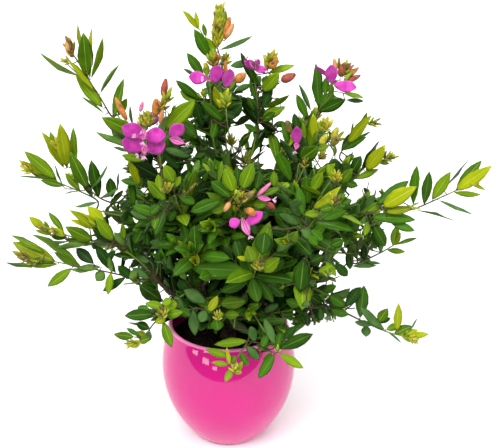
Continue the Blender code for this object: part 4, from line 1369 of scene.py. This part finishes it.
def leaf_underside(name, light, dark):
    """Under face of a living leaf: dull and paler, because it has no wax. Clouds of about 10 mm."""
    made, tree, shader = start_material(name, Roughness=0.75, IOR=1.4, Specular_IOR_Level=0.04)
    share = ranged(tree, clouds(tree, 100, 2), 0.3, 0.7)
    return finish_skin(made, shader, blend(tree, share, dark, light))


def petal_skin(name, light, dark, vein, rows=62, strength=0.35):
    """Petal: thin, soft and slightly velvety, so its gloss is low and its edge has a sheen.

    Veins fan out from the claw, drawn about 1.5 mm apart so that they show, or as a few dark
    stripes on a keel, and clouds of about 6 mm vary the colour from petal to petal.
    """
    made, tree, shader = start_material(name, Roughness=0.55, IOR=1.4, Sheen_Weight=0.25)
    pink = blend(tree, ranged(tree, clouds(tree, 160, 2), 0.32, 0.68), dark, light)
    wave = reckon(tree, "SINE", reckon(tree, "MULTIPLY", blade_parts(tree)["X"], rows))
    veins = ranged(tree, wave, 0.5, 1, strength, smooth=True)
    return finish_skin(made, shader, blend(tree, veins, pink, vein), veins, 0.2, 0.0003)


def mottled(name, light, dark, millimetres, rough, relief=0.0, **values):
    """A matt natural surface in two colours, clouded at a size in millimetres, with fine relief."""
    made, tree, shader = start_material(name, Roughness=rough, **values)
    cloud = clouds(tree, 1000 / millimetres, 4, Roughness=0.6)
    colour = blend(tree, ranged(tree, cloud, 0.35, 0.65), dark, light)
    return finish_skin(made, shader, colour, cloud if relief else None, 0.6, relief * MM)


def twig_skin():
    """Twigs: green skin on the young ends that turns to brown bark by age, in patches of 5 mm."""
    made, tree, shader = start_material("young_twig_skin", Roughness=0.6, IOR=1.45)
    age = add_node(tree, "ShaderNodeAttribute", attribute_name="age").outputs["Fac"]
    aged = reckon(tree, "MULTIPLY_ADD", clouds(tree, 200, 2), 0.5, age)
    return finish_skin(made, shader, blend(tree, ranged(tree, aged, 0.35, 1.0), "#6f8a2a", "#46351f"))


def bark_skin():
    """Woody bark: grey-brown and dull, painted darker as shade under the crown, with streaks along the limbs
    1.5 mm apart in fine relief.
    """
    made, tree, shader = start_material("woody_bark", Roughness=0.85, IOR=1.45)
    place = add_node(tree, "ShaderNodeTexCoord").outputs["Object"]
    drawn = add_node(tree, "ShaderNodeMapping", {"Scale": (1, 1, 0.25)}, {"Vector": place})
    streak = clouds(tree, 650, 5, drawn.outputs[0], Roughness=0.65)
    # Painted shade: both browns are darker than the bark itself, for the shade under the crown
    colour = blend(tree, ranged(tree, streak, 0.35, 0.68), "#1e160e", "#55452f")
    return finish_skin(made, shader, colour, streak, 0.7, 0.0006)


def pink_glaze():
    """Glazed earthenware: an even pink glaze, fired to a glassy coat.

    The lip is a lighter pink. Its skin has a slow ripple about 40 mm long, as a dipped glaze has.
    """
    made, tree, shader = start_material("fired_pink_glaze", Roughness=0.04, IOR=1.54)
    ripple = clouds(tree, 25, 2)
    body = blend(tree, ranged(tree, ripple, 0.3, 0.7), "#c20474", "#c6087a")
    place = add_node(tree, "ShaderNodeTexCoord").outputs["Object"]
    height = add_node(tree, "ShaderNodeSeparateXYZ", {}, {0: place}).outputs["Z"]
    lip = ranged(tree, height, 0.1195, 0.1212, smooth=True)
    return finish_skin(made, shader, blend(tree, lip, body, "#f98cc4"), ripple, 0.12, 0.001)


# Pot, potting mix and bark

def turned_mesh(name, profile, sides):
    """A closed mesh turned about Z from (radius, height) points that start and end on the axis."""
    bm = bmesh.new()
    corners = [bm.verts.new((radius, 0, height)) for radius, height in profile]
    edges = [bm.edges.new(pair) for pair in zip(corners, corners[1:])]
    bmesh.ops.spin(
        bm, geom=corners + edges, cent=(0, 0, 0), axis=(0, 0, 1),
        angle=math.tau, steps=sides, use_merge=True)
    bmesh.ops.remove_doubles(bm, verts=bm.verts, dist=1e-6)
    bmesh.ops.recalc_face_normals(bm, faces=bm.faces)
    return bm, bpy.data.meshes.new(name)


def finished(name, bm, mesh, material, sharp):
    """A smooth piece made from the bmesh, with a crease where it turns by more than sharp degrees."""
    bm.to_mesh(mesh)
    bm.free()
    mesh.shade_smooth()
    mesh.set_sharp_from_angle(angle=math.radians(sharp))
    return place_piece(name, mesh, [material])


def make_pot():
    """The glazed shell: its wall, a lip rounded over its whole thickness, and the floor inside."""
    turn = POT_HEIGHT - POT_WALL / 2
    outer = [(pot_radius(z), z) for z in np.linspace(0, turn, 44)]
    middle = pot_radius(turn) - POT_WALL / 2
    lip = [(middle + POT_WALL / 2 * math.cos(a), turn + POT_WALL / 2 * math.sin(a))
           for a in np.linspace(0, math.pi, 13)[1:-1]]
    inner = [(pot_radius(z) - POT_WALL, z) for z in np.linspace(turn, POT_FLOOR, 26)]
    bm, mesh = turned_mesh("pot_glazed", [(0, 0), *outer, *lip, *inner, (0, POT_FLOOR)], POT_SIDES)
    piece = finished("pot_glazed", bm, mesh, pink_glaze(), 40)
    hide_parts("pot")


def soil_height(inset):
    """The mix's height at a distance in from the wall, to which it falls a little."""
    return lerp(SOIL_TOP - SOIL_EDGE_DROP, SOIL_TOP, min(1, inset / SOIL_SHOULDER))


def make_soil():
    """The potting mix, its top in lumps, and loose crumbs and bark chips lying on it."""
    edge = SOIL_TOP - SOIL_EDGE_DROP
    low = POT_FLOOR + GAP
    wall = [(pot_radius(z) - POT_WALL - GAP, z) for z in np.linspace(low, edge, 12)]
    rim = wall[-1][0]
    top = [(radius, soil_height(rim - radius)) for radius in np.linspace(rim, 0, 34)[1:]]
    bm, mesh = turned_mesh("potting_mix", [(0, low), *wall, *top], 96)
    for vert in bm.verts:
        if vert.co.z > edge + 0.1 * MM:
            place = vert.co * 260
            vert.co.z += SOIL_LUMP * (noise.noise(place) + 0.5 * noise.noise(place * 2.3))
    mix = mottled("peaty_potting_mix", "#21170f", "#080503", 2.5, 0.95, 0.8, Specular_IOR_Level=0.1)
    piece = finished("potting_mix", bm, mesh, mix, 60)
    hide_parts("soil")
    scatter_crumbs()


def scatter_crumbs():
    """Crumbs of 2 to 5 mm, each a small faceted lump half sunk in the mix."""
    bm = bmesh.new()
    bmesh.ops.create_icosphere(bm, subdivisions=1, radius=1)
    for vert in bm.verts:
        vert.co *= 1 + 0.25 * noise.noise(vert.co * 2)
        vert.co.y = (vert.co.y + 1) / 2
    template = arrays_of(bm)
    dice = random.Random("crumbs")
    spots = []
    for _ in range(CRUMBS):
        radius = CRUMBS_REACH * math.sqrt(dice.uniform(0.03, 1))
        turn = dice.uniform(0, math.tau)
        along = unit(np.array([dice.uniform(-1, 1), dice.uniform(-1, 1), dice.uniform(-0.3, 0.3)]))
        long = dice.uniform(2, 5) * MM
        top = soil_height(CRUMBS_REACH + 2 * MM - radius)
        middle = np.array([radius * math.cos(turn), radius * math.sin(turn), top + 0.5 * MM])
        spots.append({
            "root": middle - along * long / 2, "along": along,
            "normal": unit(np.cross(along, np.cross(UP, along))),
            "length": long, "width": long * dice.uniform(0.5, 0.9),
            "thickness": long * dice.uniform(0.35, 0.7),
        })
    crumb = mottled("bark_crumbs", "#33251a", "#110b07", 3, 0.9, 0.4, Specular_IOR_Level=0.1)
    piece = joined("potting_crumbs", template, swollen(template, spots), {}, [crumb])
    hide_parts("soil")


def add_limb(bm, path, radii, sides=14):
    """A closed limb: a disc drawn out along the path, ring by ring."""
    tangents = np.gradient(path, axis=0)
    spin = Vector(tangents[0]).to_track_quat("Z", "Y")
    disc = bmesh.ops.create_circle(
        bm, cap_ends=True, segments=sides, radius=radii[0],
        matrix=Matrix.LocRotScale(Vector(path[0]), spin, None))
    ring = disc["verts"]
    face = next(iter(set(ring[0].link_faces)))
    for k in range(1, len(path)):
        grown = bmesh.ops.extrude_face_region(bm, geom=[face], use_keep_orig=(k == 1))["geom"]
        face = next(item for item in grown if isinstance(item, bmesh.types.BMFace))
        spin = Vector(tangents[k - 1]).rotation_difference(Vector(tangents[k]))
        centre = Vector(path[k - 1])
        scale = radii[k] / radii[k - 1]
        for vert in face.verts:
            vert.co = Vector(path[k]) + spin @ ((vert.co - centre) * scale)


def make_bark(paths):
    """Trunk and boughs melted into one skin, with the bark's furrows pressed into it."""
    bm = bmesh.new()
    heights = np.linspace(0, TRUNK_HEIGHT, 24)
    add_limb(bm, np.array([trunk_point(height) for height in heights]),
             [trunk_radius(height) for height in heights], 20)
    for order, path in enumerate(paths.values()):
        height = min(FIRST_BOUGH_AT + order * BOUGH_STEP, TRUNK_HEIGHT)
        inner = trunk_point(height - 1.5 * MM)
        beyond = path[-1] + unit(path[-1] - path[-2]) * KNOB_RADIUS * 0.9
        path = np.concatenate([[inner], path, [beyond]])
        radii = np.linspace(BOUGH_RADIUS, BOUGH_TIP_RADIUS, len(path))
        radii[0] = BOUGH_RADIUS * 1.25
        radii[-4:] = [KNOB_RADIUS * share for share in (0.8, 0.95, 1.0, 0.45)]
        add_limb(bm, path, radii)
    bmesh.ops.recalc_face_normals(bm, faces=bm.faces)
    mesh = bpy.data.meshes.new("bark_limbs")
    bm.to_mesh(mesh)
    bm.free()
    rough = in_scene("bark_rough", mesh)
    melt = rough.modifiers.new("Melt", "REMESH")
    melt.mode = "VOXEL"
    melt.voxel_size = BARK_GRAIN
    skin = bpy.data.meshes.new_from_object(
        rough.evaluated_get(bpy.context.evaluated_depsgraph_get()))
    bpy.data.objects.remove(rough)
    skin.name = "bark_limbs"
    press_bark(skin)
    piece = place_piece("bark_limbs", skin, [bark_skin()])
    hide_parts("trunk", *[f"bough_{name}" for name in BOUGHS])


def press_bark(mesh):
    """Moves each point along its normal by streaky noise, so the bark has ridges and furrows."""
    bm = bmesh.new()
    bm.from_mesh(mesh)
    bmesh.ops.smooth_vert(bm, verts=bm.verts, factor=0.5, use_axis_x=True, use_axis_y=True,
                          use_axis_z=True)
    bm.normal_update()
    for vert in bm.verts:
        place = Vector((vert.co.x * 420, vert.co.y * 420, vert.co.z * 130))
        ridge = 1 - 2 * abs(noise.noise(place))
        vert.co += vert.normal * BARK_RELIEF * (ridge - 0.6)
    bm.to_mesh(mesh)
    bm.free()
    mesh.shade_smooth()


# Foliage and flowers as joined pieces

LEAVES_PER_PIECE = 1250
LEAF_AGES = (  # piece, oldest age in it, upper face, underside, how far out it is fullest, bluntness
    ("leaves_tip", 0.13, ("#a8b408", "#6c7e02", "#c6cf54", 0.5), ("#989e30", "#727e1c"), 0.95, 0.9),
    ("leaves_young", 0.34, ("#749408", "#365e02", "#a2be4e", 0.46), ("#66883a", "#486a26"), 1.0, 0.88),
    ("leaves_grown", 0.7, ("#3e6e0a", "#133401", "#74963e", 0.44), ("#56783e", "#3c5e2a"), 1.08, 0.82),
    # Painted shade: the old leaves' greens are darker than age alone makes them, to stand for the shade
    # inside the crown
    ("leaves_old_painted_shade", 9.0, ("#27500f", "#081c02", "#507234", 0.46), ("#3e6030", "#2a4822"), 1.2, 0.74),
)
POD_TONES = {
    "orange": ("#cc8838", "#925426"), "red": ("#b65a48", "#7c3228"), "peach": ("#dca468", "#b87a4c"),
    "pink": ("#e58bb0", "#b8527f"), "yellow": ("#c4bc34", "#86801c"), "olive": ("#8a7c34", "#54481a"),
    "lime": ("#9eb226", "#6e8214"),
}
# Petals and buds read off the photograph: places and widths in its pixels
WINGS = (  # shoot, root, tip, their depths in mm, facing, width
    ("left_flower", (145, 137), (121, 124), (-64, -68), (-0.3, -0.9, 0.3), 17),
    ("left_flower", (144, 137), (168, 134), (-64, -68), (0.3, -0.9, 0.3), 16),
    ("left_flower", (146, 149), (121, 138), (-61, -64), (-0.3, -0.9, 0.2), 19),
    ("left_flower", (144, 149), (167, 142), (-61, -64), (0.3, -0.9, 0.2), 18),
    ("left_flower", (170, 137), (184, 122), (-58, -60), (0.2, -0.95, 0.2), 14),
    ("left_flower", (170, 138), (182, 133), (-52, -48), (0.1, 0.9, 0.3), 9),
    ("top_flower", (208, 79), (187, 77), (-36, -40), (-0.1, -0.9, 0.4), 13),
    ("top_flower", (213, 83), (221, 63), (-38, -42), (-0.1, -0.95, 0.2), 14),
    ("top_flower", (227, 88), (228, 66), (-40, -44), (0.4, -0.9, 0.1), 13),
    ("upper_right_flower", (257, 70), (243, 59), (12, 8), (-0.3, -0.9, 0.4), 9),
    ("upper_right_flower", (268, 69), (252, 70), (12, 8), (0.1, -0.8, 0.6), 9),
    ("upper_right_flower", (257, 69), (257, 57), (16, 14), (0.2, -0.9, 0.2), 7),
    ("right_flower", (331, 79), (316, 63), (0, 0), (-0.75, -0.6, 0.1), 7),
    ("right_flower", (332, 84), (330, 62), (-4, -8), (0.1, -1, 0.1), 13),
    ("right_flower", (333, 84), (358, 90), (-4, -12), (0.25, -0.8, 0.5), 13),
    ("right_inner_flower", (297, 145), (296, 124), (-26, -28), (0.1, -1, 0.1), 11),
    ("centre_flower", (240, 220), (229, 226), (-126, -128), (-0.3, -0.9, 0.3), 10),
    ("centre_flower", (245, 225), (263, 211), (-122, -118), (0.4, -0.7, 0.5), 11),
)
KEELS = (  # shoot, root, tip, their depths in mm, width
    ("left_flower", (144, 129), (143, 143), (-68, -76), 8),
    ("left_flower", (144, 137), (135, 136), (-70, -77), 8),
    ("left_flower", (146, 145), (144, 157), (-66, -74), 8),
    ("left_flower", (145, 155), (138, 156), (-68, -74), 6),
    ("left_flower", (169, 138), (187, 144), (-62, -66), 9),
    ("top_flower", (211, 80), (203, 79), (-40, -46), 6),
    ("upper_right_flower", (257, 70), (247, 57), (8, 4), 8),
    ("upper_right_flower", (257, 70), (256, 60), (8, 4), 6),
    ("right_flower", (333, 84), (340, 80), (-8, -14), 6),
    ("right_inner_flower", (297, 143), (295, 152), (-26, -34), 7),
    ("centre_flower", (242, 218), (250, 237), (-128, -134), 9),
    ("centre_flower", (257, 197), (274, 200), (-110, -116), 6),
)
PODS = (  # shoot, tone, root, tip, depth in mm, width
    ("left_flower", "orange", (127, 121), (115, 97), -46, 7),
    ("left_flower", "orange", (156, 116), (156, 98), -44, 10),
    ("left_flower", "red", (163, 97), (166, 78), -42, 8),
    ("left_flower", "peach", (160, 124), (163, 106), -46, 6),
    ("left_flower", "yellow", (164, 103), (168, 92), -42, 5),
    ("left_flower", "pink", (140, 112), (143, 101), -40, 5),
    ("top_flower", "orange", (235, 82), (246, 73), -26, 11),
    ("top_flower", "orange", (226, 73), (225, 60), -28, 5),
    ("top_flower", "red", (212, 62), (212, 53), -22, 6),
    ("top_flower", "yellow", (217, 63), (219, 54), -22, 5),
    ("top_flower", "yellow", (207, 70), (204, 62), -24, 5),
    ("upper_right_flower", "yellow", (267, 69), (265, 54), 18, 6),
    ("upper_right_flower", "orange", (270, 69), (277, 56), 16, 11),
    ("upper_right_flower", "red", (281, 81), (296, 74), 14, 11),
    ("right_flower", "peach", (336, 71), (334, 58), 6, 6),
    ("right_flower", "olive", (339, 70), (339, 57), 8, 4),
    ("right_flower", "red", (340, 77), (345, 62), 4, 10),
    ("right_flower", "olive", (344, 75), (350, 63), 8, 5),
    ("right_flower", "orange", (347, 78), (359, 67), 6, 6),
    ("right_flower", "red", (346, 82), (361, 75), 4, 7),
    ("right_flower", "lime", (344, 81), (352, 71), 2, 5),
    ("right_bud", "yellow", (325, 129), (326, 118), -44, 7),
    ("right_bud", "lime", (321, 130), (318, 121), -44, 5),
    ("right_bud", "yellow", (328, 128), (333, 119), -44, 5),
    ("right_bud", "yellow", (320, 145), (327, 134), -46, 8),
    ("right_bud", "yellow", (332, 139), (338, 127), -46, 8),
    ("right_bud", "olive", (331, 145), (340, 137), -46, 9),
    ("right_inner_flower", "olive", (290, 134), (286, 120), -16, 8),
    ("centre_flower", "orange", (246, 209), (256, 215), -122, 9),
    ("centre_flower", "peach", (230, 202), (224, 212), -116, 6),
    ("centre_flower", "pink", (257, 196), (272, 182), -110, 5),
    ("centre_flower", "olive", (243, 200), (255, 191), -112, 8),
    ("centre_flower", "red", (267, 203), (275, 209), -108, 7),
    ("centre_flower", "lime", (237, 200), (236, 189), -112, 6),
    ("upper_left", "orange", (72, 57), (69, 37), 6, 8),
    ("upper_left", "peach", (70, 56), (66, 41), 4, 7),
    ("top_spike", "orange", (225, 40), (230, 16), 10, 8),
    ("top_spike", "peach", (226, 38), (234, 23), 6, 7),
)
WING_SHAPE = {"bend": -0.35, "fold": 0.12, "thickness": 0.45 * MM}
WING_LENGTH = 18 * MM
WING_WIDTH = 14 * MM
KEEL_LENGTH = 15 * MM
KEEL_WIDTH = 8 * MM
KEEL_THICKNESS = 0.8 * MM
CREST_THREADS = 24
THREAD_RADII = (0.34 * MM, 0.16 * MM)


def blade_spot(root, tip, facing, width, **shape):
    """A spot for a blade from root to tip, its upper face turned the given way."""
    along = unit(tip - root)
    facing = np.array(facing, float)
    normal = unit(facing - along * np.dot(facing, along))
    spot = {
        "root": root, "along": along, "normal": normal, "length": np.linalg.norm(tip - root),
        "width": width, "bend": 0.0, "fold": 0.0, "twist": 0.0, "wave": 0.0,
    }
    spot.update(shape)
    return spot


def marked_spot(root, tip, depths, facing, width, **shape):
    """A spot for a blade from its two places in the photograph, their depths and its width there."""
    ends = [on_plane(mark, depth * MM) for mark, depth in zip((root, tip), depths)]
    return blade_spot(*ends, facing, width * PIXEL, **shape)


def give_foliage(piece):
    """Hides every mass of foliage in the imported model."""
    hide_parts(*SHOOTS)


def make_leaves(spots):
    """The leaves by age, each age in pieces of its own, because its outline and its greens differ."""
    youngest = -9.0
    for name, oldest, skin, under, fullest, bluntness in LEAF_AGES:
        outline = partial(leaf_outline, fullest=fullest, bluntness=bluntness)
        template = blade_template(4, 6, outline, 0.25)
        chosen = [spot for spot in spots if youngest < spot["age"] <= oldest]
        youngest = oldest
        materials = [leaf_skin(f"{name}_skin", *skin), leaf_underside(f"{name}_underside", *under)]
        count = math.ceil(len(chosen) / LEAVES_PER_PIECE)
        for part in range(count):
            some = chosen[part::count]
            tones = {"tone": np.array([spot["tone"] for spot in some])}
            points = bent(template, some)
            give_foliage(joined(f"{name}_{part + 1}", template, points, tones, materials))


def make_twigs(growths):
    """Every stem, twig and stalk, joined."""
    twigs = [twig for growth in growths for twig in growth.twigs]
    give_foliage(tubes("twigs", twigs, 6, [twig_skin()]))


def marked_parts():
    """The wings, keels and single buds in the tables, each with its shoot and the buds' tones."""
    wings = [(shoot, marked_spot(root, tip, depths, facing, width, **WING_SHAPE))
             for shoot, root, tip, depths, facing, width in WINGS]
    keels = [(shoot, marked_spot(
        root, tip, depths, (0, -1, 0.4), width * 1.2, bend=-0.5, fold=0.8, thickness=KEEL_THICKNESS))
        for shoot, root, tip, depths, width in KEELS]
    pods = [(shoot, tone, marked_spot(
        root, tip, (depth, depth), (0, -1, 0.2), width, thickness=width * 0.8 * PIXEL))
        for shoot, tone, root, tip, depth, width in PODS]
    return wings, keels, pods


def flower_parts(growths):
    """Wings, keels and buds of every shoot: those in the tables, and the rest by the same pattern."""
    wings, keels, pods = marked_parts()
    shown = {row[0] for row in WINGS}
    clusters = {row[0] for row in BUD_CLUSTERS}
    by_name = {growth.name: growth for growth in growths}
    for name, mark, (across, down), count, size, tones in BUD_CLUSTERS:
        base = on_plane(mark, depth_at(placed_on(name)[0], mark) - 4 * MM)
        way = unit(unit(np.array([across, 0, -down])) - np.array([0, 0.2, 0]))
        by_name[name].reach(base, way, 0.1)
        add_buds(by_name[name], base, way, count, size * 0.7 * MM, size * MM, tones, pods)
    add_spike(by_name["top_spike"], pods)
    for growth in growths:
        kind = SHOOTS[growth.name][2]
        if kind.startswith("flower") and growth.name not in shown and growth.tip[1] > 40 * MM:
            for turn in range(3 if kind == "flowers" else 1):
                add_open_flower(growth, turn, wings, keels)
        if kind not in ("leaf", "spike") and growth.name not in clusters:
            base, way = point_back(growth.curve, 0)
            add_buds(growth, base, way, 14, 6 * MM, 9 * MM, "ylyo", pods)
    return wings, keels, pods


def add_open_flower(growth, turn, wings, keels):
    """One open flower at the side of a shoot's tip: two wings held back and a keel held forward."""
    root, way = point_back(growth.curve, (2 + 5 * turn) * MM)
    far_side = np.array([0.4 * np.sign(root[0]), 1.0, 0.0])
    out = turned_about(unit(far_side - way * np.dot(far_side, way)), way, (turn - 1) * 0.9)
    root = root + out * 7 * MM + way * 4 * MM
    if in_outline(in_picture(root)[0][None], NO_FLOWERS)[0]:
        return
    front = unit(out + 0.35 * way)
    side = unit(np.cross(front, way))
    for hand in (-1, 1):
        tip = root + (side * hand * 0.75 + way * 0.5 + out * 0.15) * WING_LENGTH
        wings.append((growth.name, blade_spot(root, tip, front, WING_WIDTH, **WING_SHAPE)))
    tip = root + (front * 0.9 - way * 0.3) * KEEL_LENGTH
    keels.append((growth.name, blade_spot(
        root, tip, way, KEEL_WIDTH, bend=-0.5, fold=1.15, thickness=KEEL_THICKNESS)))


def add_buds(growth, base, way, count, length, size, tones, pods):
    """Buds packed in a spiral about a line from the base, the lower ones leaning further out."""
    vary = growth.random.uniform
    for step in range(count):
        share = (step + 0.5) / count
        out = turned_about(square_to(way), way, step * GOLDEN_ANGLE)
        root = base + way * length * share + out * 0.6 * MM
        lean = unit(way + out * (lerp(1.0, 0.15, share) + vary(-0.1, 0.2)))
        long = size * vary(0.8, 1.1)
        tone = CLUSTER_TONES[tones[growth.random.randrange(len(tones))]]
        pods.append((growth.name, tone, blade_spot(
            root, root + lean * long, out, long * 0.4, thickness=long * 0.33)))


def add_spike(growth, pods):
    """The spike: a straight axis that bears its buds in a long column."""
    base, way = np.array(SPIKE_BASE) * MM, unit(np.array(SPIKE_WAY))
    growth.reach(base, way, 0.1)
    axis = np.array([base + way * share * SPIKE_LENGTH for share in np.linspace(0, 0.95, 6)])
    growth.add_twig(axis, *SPIKE_RADII, 0.1)
    for step in range(SPIKE_BUDS):
        share = step / SPIKE_BUDS
        out = turned_about(square_to(way), way, step * GOLDEN_ANGLE)
        root = base + way * SPIKE_LENGTH * share
        lean = unit(way + out * lerp(0.62, 0.35, share))
        tone = CLUSTER_TONES["ylyoly"[growth.random.randrange(6)]]
        long = growth.random.uniform(10, 13.5) * MM
        pods.append((growth.name, tone, blade_spot(
            root, root + lean * long, out, long * 0.36, thickness=long * 0.3)))


def add_stalks(growths, rows):
    """A thin stalk from the nearest limb of its shoot to each flower's and bud's root."""
    by_name = {}
    for growth in growths:
        by_name.setdefault(growth.name, growth)
    for row in rows:
        by_name[row[0]].reach(row[-1]["root"], row[-1]["along"], 0.1)


def crest_threads(keels):
    """The keel's fringe: fine threads that fan out from its end."""
    dice = random.Random("crest")
    threads = []
    for _, keel in keels:
        tip = keel["root"] + keel["along"] * keel["length"] * 0.9
        across = np.cross(keel["along"], keel["normal"])
        for _ in range(CREST_THREADS):
            lean = across * dice.uniform(-0.9, 0.9) + keel["normal"] * dice.uniform(-0.3, 0.9)
            way = unit(keel["along"] + lean)
            end = tip + way * dice.uniform(2.4, 4.4) * MM
            path = bezier(tip, unit(keel["along"] + 0.3 * lean), end, way, 4)
            threads.append((path, *THREAD_RADII, 0))
    return threads


def make_flowers(wings, keels, pods):
    """Wing petals, boat-shaped keels with a fringed crest, and buds, each kind joined."""
    petal = blade_template(6, 8, petal_outline, 0.15)
    magenta = petal_skin("wing_petal", "#dc42ba", "#b21c94", "#8c1674")
    back = petal_skin("wing_petal_back", "#b8329a", "#8e2076", "#701860")
    points = bent(petal, [spot for _, spot in wings])
    give_foliage(joined("flower_wings", petal, points, {}, [magenta, back]))
    pale = petal_skin("keel_petal", "#e482c0", "#b84890", "#5c0c36", 20, 0.9)
    inside = petal_skin("keel_inside", "#c0569a", "#7a2058", "#4a0c30")
    points = bent(petal, [spot for _, spot in keels])
    give_foliage(joined("flower_keels", petal, points, {}, [pale, inside]))
    fringe = mottled("crest_fringe", "#fbe6f2", "#e79ccb", 5, 0.6, IOR=1.4)
    give_foliage(tubes("flower_crests", crest_threads(keels), 5, [fringe]))
    pod = pod_template(8, 6)
    for tone, (light, dark) in POD_TONES.items():
        spots = [spot for _, kind, spot in pods if kind == tone]
        skin = mottled(f"bud_{tone}", light, dark, 4, 0.5, IOR=1.4)
        give_foliage(joined(f"buds_{tone}", pod, swollen(pod, spots), {}, [skin]))


# Stage

def make_floor():
    """A pale, matt floor that ends a little in front of the pot, like a table.

    Its front edge is out of the photograph's view. The glaze mirrors the dimmer room beyond it as
    a darker band under the rim.
    """
    bm = bmesh.new()
    bmesh.ops.create_grid(bm, x_segments=1, y_segments=1, size=FLOOR_REACH)
    bmesh.ops.translate(bm, verts=bm.verts, vec=(0, FLOOR_REACH - FLOOR_BEFORE_POT, 0))
    bmesh.ops.rotate(bm, verts=bm.verts, matrix=Matrix.Rotation(FLOOR_TURN, 3, "Z"))
    mesh = bpy.data.meshes.new("floor")
    bm.to_mesh(mesh)
    bm.free()
    mesh.materials.append(mottled("matt_white_floor", "#fbfbfb", "#f7f7f7", 400, 0.9))
    floor = in_scene("floor", mesh)


def make_lights():
    """A white surround, three wide high lights and six softboxes, the low ones for the glaze."""
    world = bpy.data.worlds.new("white_surround")
    bpy.context.scene.world = world
    world.use_nodes = True
    surround = world.node_tree.nodes["Background"]
    surround.inputs["Color"].default_value = (1, 1, 1, 1)
    surround.inputs["Strength"].default_value = SURROUND_STRENGTH
    for tilt, swing, power, width in HIGH_LIGHTS:
        sun = bpy.data.lights.new("high_softbox", "SUN")
        sun.energy = power
        sun.angle = math.radians(width)
        high = in_scene("high_softbox", sun)
        high.rotation_euler = (math.radians(tilt), math.radians(swing), 0)
    for place, width, height, power in SOFTBOXES:
        light = bpy.data.lights.new("softbox", "AREA")
        light.shape = "RECTANGLE"
        light.size = width
        light.size_y = height
        light.energy = power
        lamp = in_scene("softbox", light)
        lamp.location = place
        lamp.rotation_euler = (LIT_PLACE - Vector(place)).to_track_quat("-Z", "Y").to_euler()


def make_camera():
    """The photograph's camera, with colours shown as they are."""
    data = bpy.data.cameras.new("camera")
    data.lens = CAMERA_LENS
    data.sensor_width = CAMERA_SENSOR
    camera = in_scene("camera", data)
    camera.location = CAMERA_PLACE
    camera.rotation_euler = (math.pi / 2 - CAMERA_PITCH, 0, 0)
    bpy.context.scene.camera = camera
    bpy.context.scene.view_settings.view_transform = "Standard"


def main():
    """The stage, the pot with its mix, the limbs, and what grows on them."""
    make_camera()
    make_floor()
    make_lights()
    make_pot()
    make_soil()
    make_bark(bough_paths())
    growths, spots, wings, keels, pods = grow_all()
    add_stalks(growths, wings[::2] + keels + pods)
    make_twigs(growths)
    make_leaves(spots)
    make_flowers(wings, keels, pods)
    bpy.context.view_layer.update()


main()
